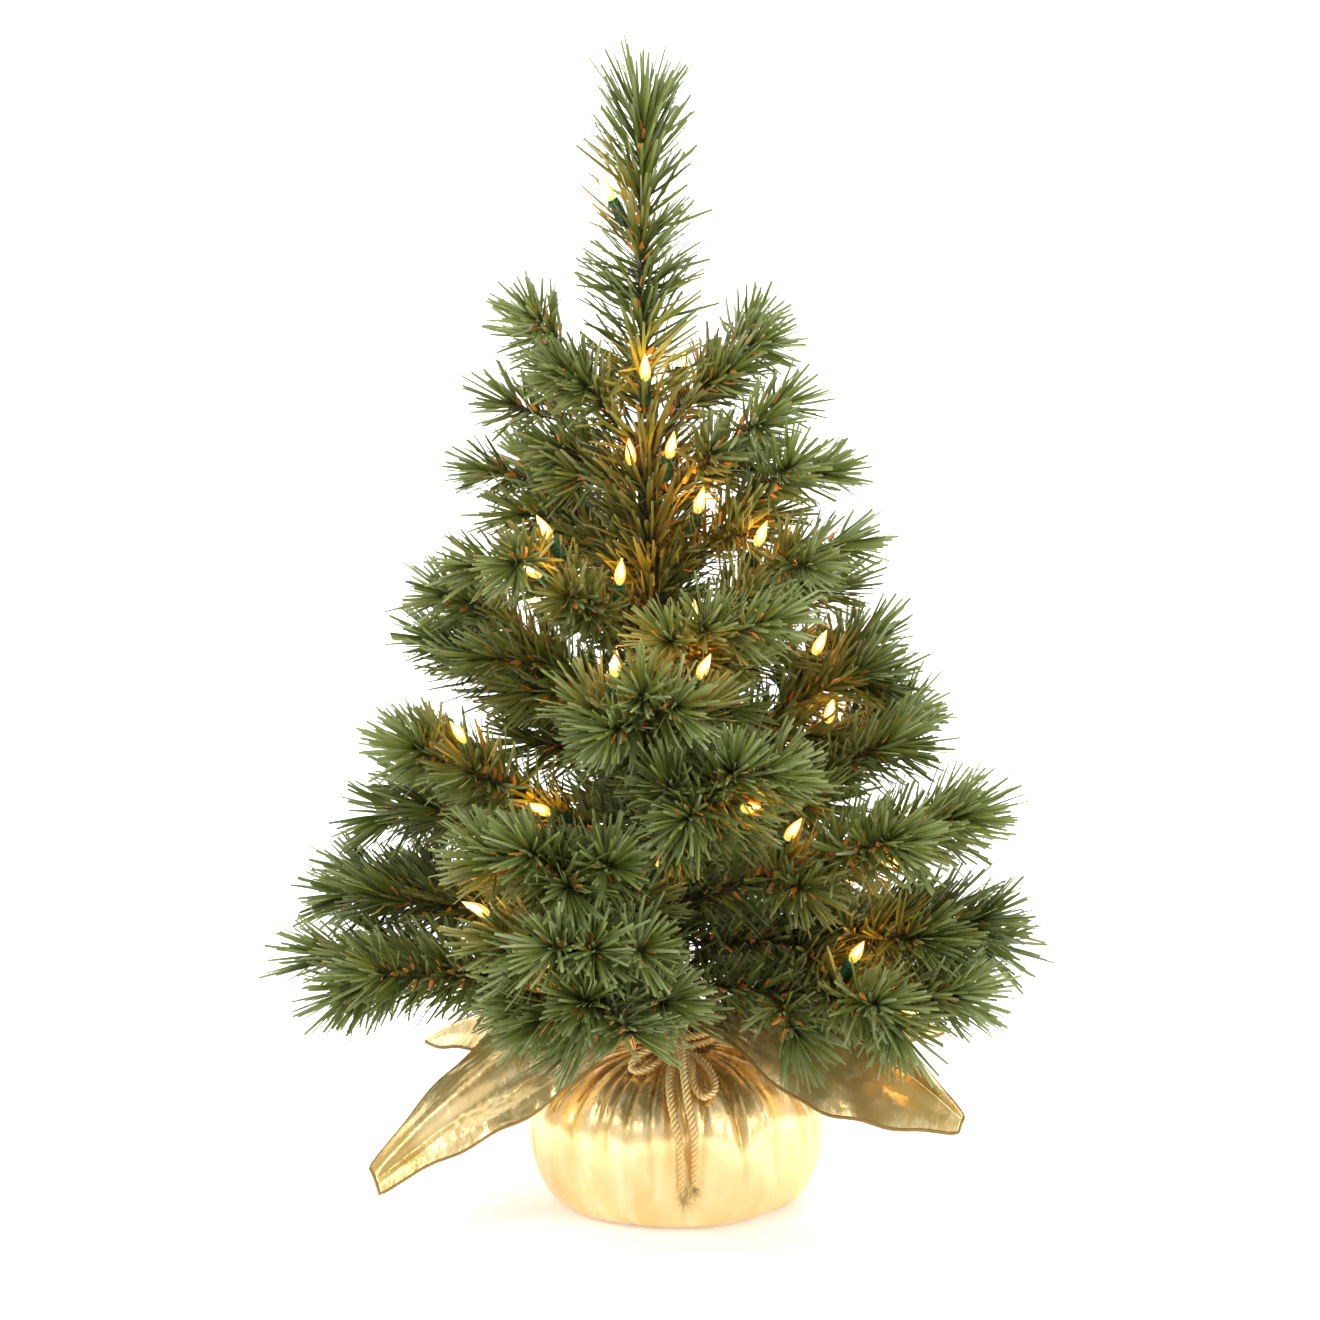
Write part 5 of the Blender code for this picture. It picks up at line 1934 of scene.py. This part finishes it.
@dataclass
class Tie:
    """The cord wound round the bag's neck, its knot and its bow at the front."""

    cord: TwistedCord = field(default_factory=TwistedCord)
    knot_centre: tuple[float, float, float] = (0.0, -0.029964, 0.09235)
    foot: float = 0.055
    belly: float = 0.076
    belly_height: float = 0.0475
    neck: float = 0.019
    ring_radius: float = 0.02175
    ring_low: float = 0.08995
    turn_height: float = 0.0048
    seed: int = 3

    def side_outline(self) -> Array:
        """The bag's side from the foot's edge to the neck, as the routes measure it."""
        height = self.belly_height
        side = [(self.foot, 0.0)]
        for step in range(1, 6):
            turn = math.pi / 2 * step / 5
            out = self.foot + (self.belly - self.foot) * math.sin(turn)
            side.append((out, height * (1 - math.cos(turn))))
        for step in range(1, 8):
            turn = math.pi / 2 * step / 7
            out = self.neck + (self.belly - self.neck) * math.cos(turn)
            side.append((out, height + (NECK_HEIGHT - height) * math.sin(turn)))
        return np.array(side)

    def on_side(self, turn_deg: float, share: float, clear: float) -> Array:
        """A point off the bag's side.

        Args:
            turn_deg: its turn from the front, to the right.
            share: how far up the side it is.
            clear: how far off the side it is.

        Returns:
            The point.
        """
        side = self.side_outline()
        spans = np.linalg.norm(np.diff(side, axis=0), axis=1)
        left = share * spans.sum()
        index = 0
        while left > spans[index]:
            left -= spans[index]
            index += 1
        heading = (side[index + 1] - side[index]) / spans[index]
        radius, height = side[index] + heading * left + np.array([heading[1], -heading[0]]) * clear
        turn = math.radians(turn_deg)
        return np.array([radius * math.sin(turn), -radius * math.cos(turn), height])

    def route(self, plan: Plan) -> Array:
        """The centre line of one loop or tail."""
        points = [self.knot_centre + np.array(plan.leave) * CORD_DIAMETER]
        for turn, share, clear in plan.lays:
            points.append(self.on_side(turn, share, clear * CORD_DIAMETER))
        if plan.back is not None:
            points.append(self.knot_centre + np.array(plan.back) * CORD_DIAMETER)
        return smooth_route(points, 0.0012)

    def frayed(self, name: str, path: Array, noise: np.random.Generator) -> bpy.types.Object:
        """The loose yarns of a cord's cut end, which spread into a small brush."""
        shape = Shape()
        end, heading = path[-1], directions(path)[-1]
        for _ in range(90):
            drift = noise.normal(0.0, 0.28, 3)
            length = noise.uniform(0.005, 0.014)
            start = end - heading * 0.004 + noise.normal(0.0, 0.0009, 3)
            line = [start, start + heading * length * 0.45]
            line.append(start + (heading + drift * 0.6) * length * 0.8)
            line.append(start + (heading * 0.8 + drift) * length + np.array([0, 0, -0.001]))
            for point in line:
                point[1] += min(0.0, self.front_of(point) - point[1])
            shape.add(*tube(smooth_route(line, 0.0014), 0.00011, 3))
        piece = shape.build(name, (CORD_YARN,))
        attach(piece, BASE_BODY)
        return piece

    def front_of(self, point: Array) -> float:
        """The bag's front face at a point's height, as a Y."""
        side = self.side_outline()
        radius = float(np.interp(point[2], side[:, 1], side[:, 0])) + 0.0004
        return -math.sqrt(max(radius**2 - point[0] ** 2, 0.0))

    def free_cord(self, name: str, plan: Plan, noise: np.random.Generator) -> None:
        """One loop, or one tail with its frayed end."""
        path = self.route(plan)
        shape = Shape()
        self.cord.add_to(shape, path)
        piece = shape.build(f"{name}_twist", (CORD_YARN,))
        attach(piece, BASE_BODY, name)
        loose = plan.back is None
        extras = (self.frayed(f"{name}_frayed_end", path, noise),) if loose else ()

    def build(self) -> None:
        """Builds the loops and tails first, and then the turns round the neck and the knot."""
        noise = np.random.default_rng(self.seed)
        for name, plan in BOW.items():
            self.free_cord(name, plan, noise)
        turns = np.linspace(0.0, 2.0, 150)
        angle = math.tau * turns - math.pi / 2
        height = self.ring_low + self.turn_height * turns
        around = [self.ring_radius * np.cos(angle), self.ring_radius * np.sin(angle), height]
        shape = Shape()
        self.cord.add_to(shape, np.stack(around, 1))
        attach(shape.build("neck_turns", (CORD_YARN,)), BASE_BODY, "neck_cord")
        self.build_knot()
        LOG.info("neck turns and knot")

    def build_knot(self) -> None:
        """The knot: the cord crosses over itself three times in a tight ball."""
        turns = np.linspace(0.0, math.tau, 110, endpoint=False)
        reach = 0.0019
        over = reach * (np.sin(turns) + 1.5 * np.sin(2 * turns))
        ahead = -reach * 0.9 * np.sin(3 * turns)
        up = reach * (np.cos(turns) - 1.5 * np.cos(2 * turns))
        path = np.stack([over, ahead, up], 1) + self.knot_centre
        shape = Shape()
        TwistedCord(diameter=0.0038, sides=8).add_to(shape, np.vstack([path, path[:2]]), False)
        attach(shape.build("knot_twist", (CORD_YARN,)), BASE_BODY, "bow_knot")


# ---------------------------------------------------------------- kept solids, stage and camera


# The CAD nodes that keep their own solids and only get a better finish.
KEPT_SOLIDS = {
    "weight_tub": TUB_PLASTIC,
    "cement_weight": CEMENT,
    "trunk_rod": ROD_STEEL,
    "trunk_tape": TRUNK_TAPE,
    "light_wire": LEAD_WIRE,
}


def dress_kept_solids() -> None:
    """Gives each kept solid its finish."""
    for name, finish in KEPT_SOLIDS.items():
        node = bpy.data.objects[name]
        for entry in node.material_slots:
            entry.material = finish.make()
        if not node.material_slots:
            node.data.materials.append(finish.make())
        LOG.info("%s: %s", name, finish.name)


@dataclass(frozen=True)
class Softbox:
    """One large soft light."""

    name: str
    place: tuple[float, float, float]
    aim: tuple[float, float, float]
    size: tuple[float, float]
    power: float

    def build(self) -> None:
        """Adds the light."""
        data = bpy.data.lights.new(self.name, "AREA")
        data.shape = "RECTANGLE"
        data.size, data.size_y = self.size
        data.energy = self.power
        item = bpy.data.objects.new(self.name, data)
        bpy.context.scene.collection.objects.link(item)
        item.location = self.place
        ahead = Vector(self.aim) - Vector(self.place)
        item.rotation_euler = ahead.to_track_quat("-Z", "Y").to_euler()


@dataclass
class Studio:
    """The camera, a white sweep, soft lights and a dim room."""

    target: tuple[float, float, float] = (-0.0091, 0.0, 0.2955)
    distance: float = 1.655
    elevation_deg: float = 8.5
    lens: float = 85.0
    room: Colour = (1.0, 0.99, 0.97)
    room_strength: float = 0.72
    floor_reach: float = 14.0
    wall_from: float = 1.2
    wall_curve: float = 0.9
    wall_top: float = 3.4
    lights: tuple[Softbox, ...] = (
        Softbox("key_softbox", (-1.5, -1.5, 1.9), (0.0, 0.0, 0.28), (1.3, 1.3), 30.0),
        Softbox("fill_softbox", (1.7, -1.2, 1.0), (0.0, 0.0, 0.22), (0.9, 1.4), 15.0),
        Softbox("top_softbox", (0.1, 0.2, 2.2), (0.0, 0.0, 0.3), (1.4, 1.4), 16.0),
        Softbox("sweep_light", (0.0, 0.9, 2.6), (0.0, 2.3, 0.6), (3.0, 1.0), 110.0),
    )

    def camera(self) -> None:
        """Places the camera."""
        data = bpy.data.cameras.new("camera")
        data.lens = self.lens
        data.sensor_width = 36.0
        item = bpy.data.objects.new("camera", data)
        bpy.context.scene.collection.objects.link(item)
        rise = math.radians(self.elevation_deg)
        away = Vector((0.0, -math.cos(rise), math.sin(rise))) * self.distance
        item.location = Vector(self.target) + away
        item.rotation_euler = (-away).to_track_quat("-Z", "Y").to_euler()
        bpy.context.scene.camera = item

    def sweep(self) -> None:
        """A paper sweep: a floor that curves up into a wall behind."""
        start, bend = self.wall_from, self.wall_curve
        line = [(-self.floor_reach, 0.0), (start, 0.0)]
        for step in range(1, 17):
            turn = math.pi / 2 * step / 16
            line.append((start + bend * math.sin(turn), bend * (1 - math.cos(turn))))
        line.append((start + bend, self.wall_top))
        across = np.linspace(-self.floor_reach, self.floor_reach, 9)
        points = [(x, y, z) for y, z in line for x in across]
        corners = [row * 9 + column for row in range(len(line) - 1) for column in range(8)]
        faces = [(corner, corner + 1, corner + 10, corner + 9) for corner in corners]
        shape = Shape()
        shape.add(np.array(points), faces)
        shape.build("paper_sweep", (PAPER_FLOOR,))

    def build(self) -> None:
        """Builds the sweep, the lights and the room's own light."""
        self.sweep()
        for light in self.lights:
            light.build()
        world = bpy.data.worlds.new("room")
        world.use_nodes = True
        back = world.node_tree.nodes["Background"]
        back.inputs["Color"].default_value = (*self.room, 1.0)
        back.inputs["Strength"].default_value = self.room_strength
        bpy.context.scene.world = world
        bpy.context.scene.view_settings.view_transform = "Standard"
        LOG.info("studio")


def main() -> None:
    """Builds the pieces in order: camera and cords first, then the bag, the tree and its lamps."""
    logging.basicConfig(level=logging.INFO, format="%(name)s: %(message)s")
    studio = Studio()
    studio.camera()
    Tie().build()
    Pouch().build()
    for corner in CORNERS:
        corner.build()
    branches = every_branch()
    lamps = Lamps(branches)
    Foliage().build(branches, lamps)
    lamps.build()
    dress_kept_solids()
    studio.build()


if __name__ == "__main__":
    main()
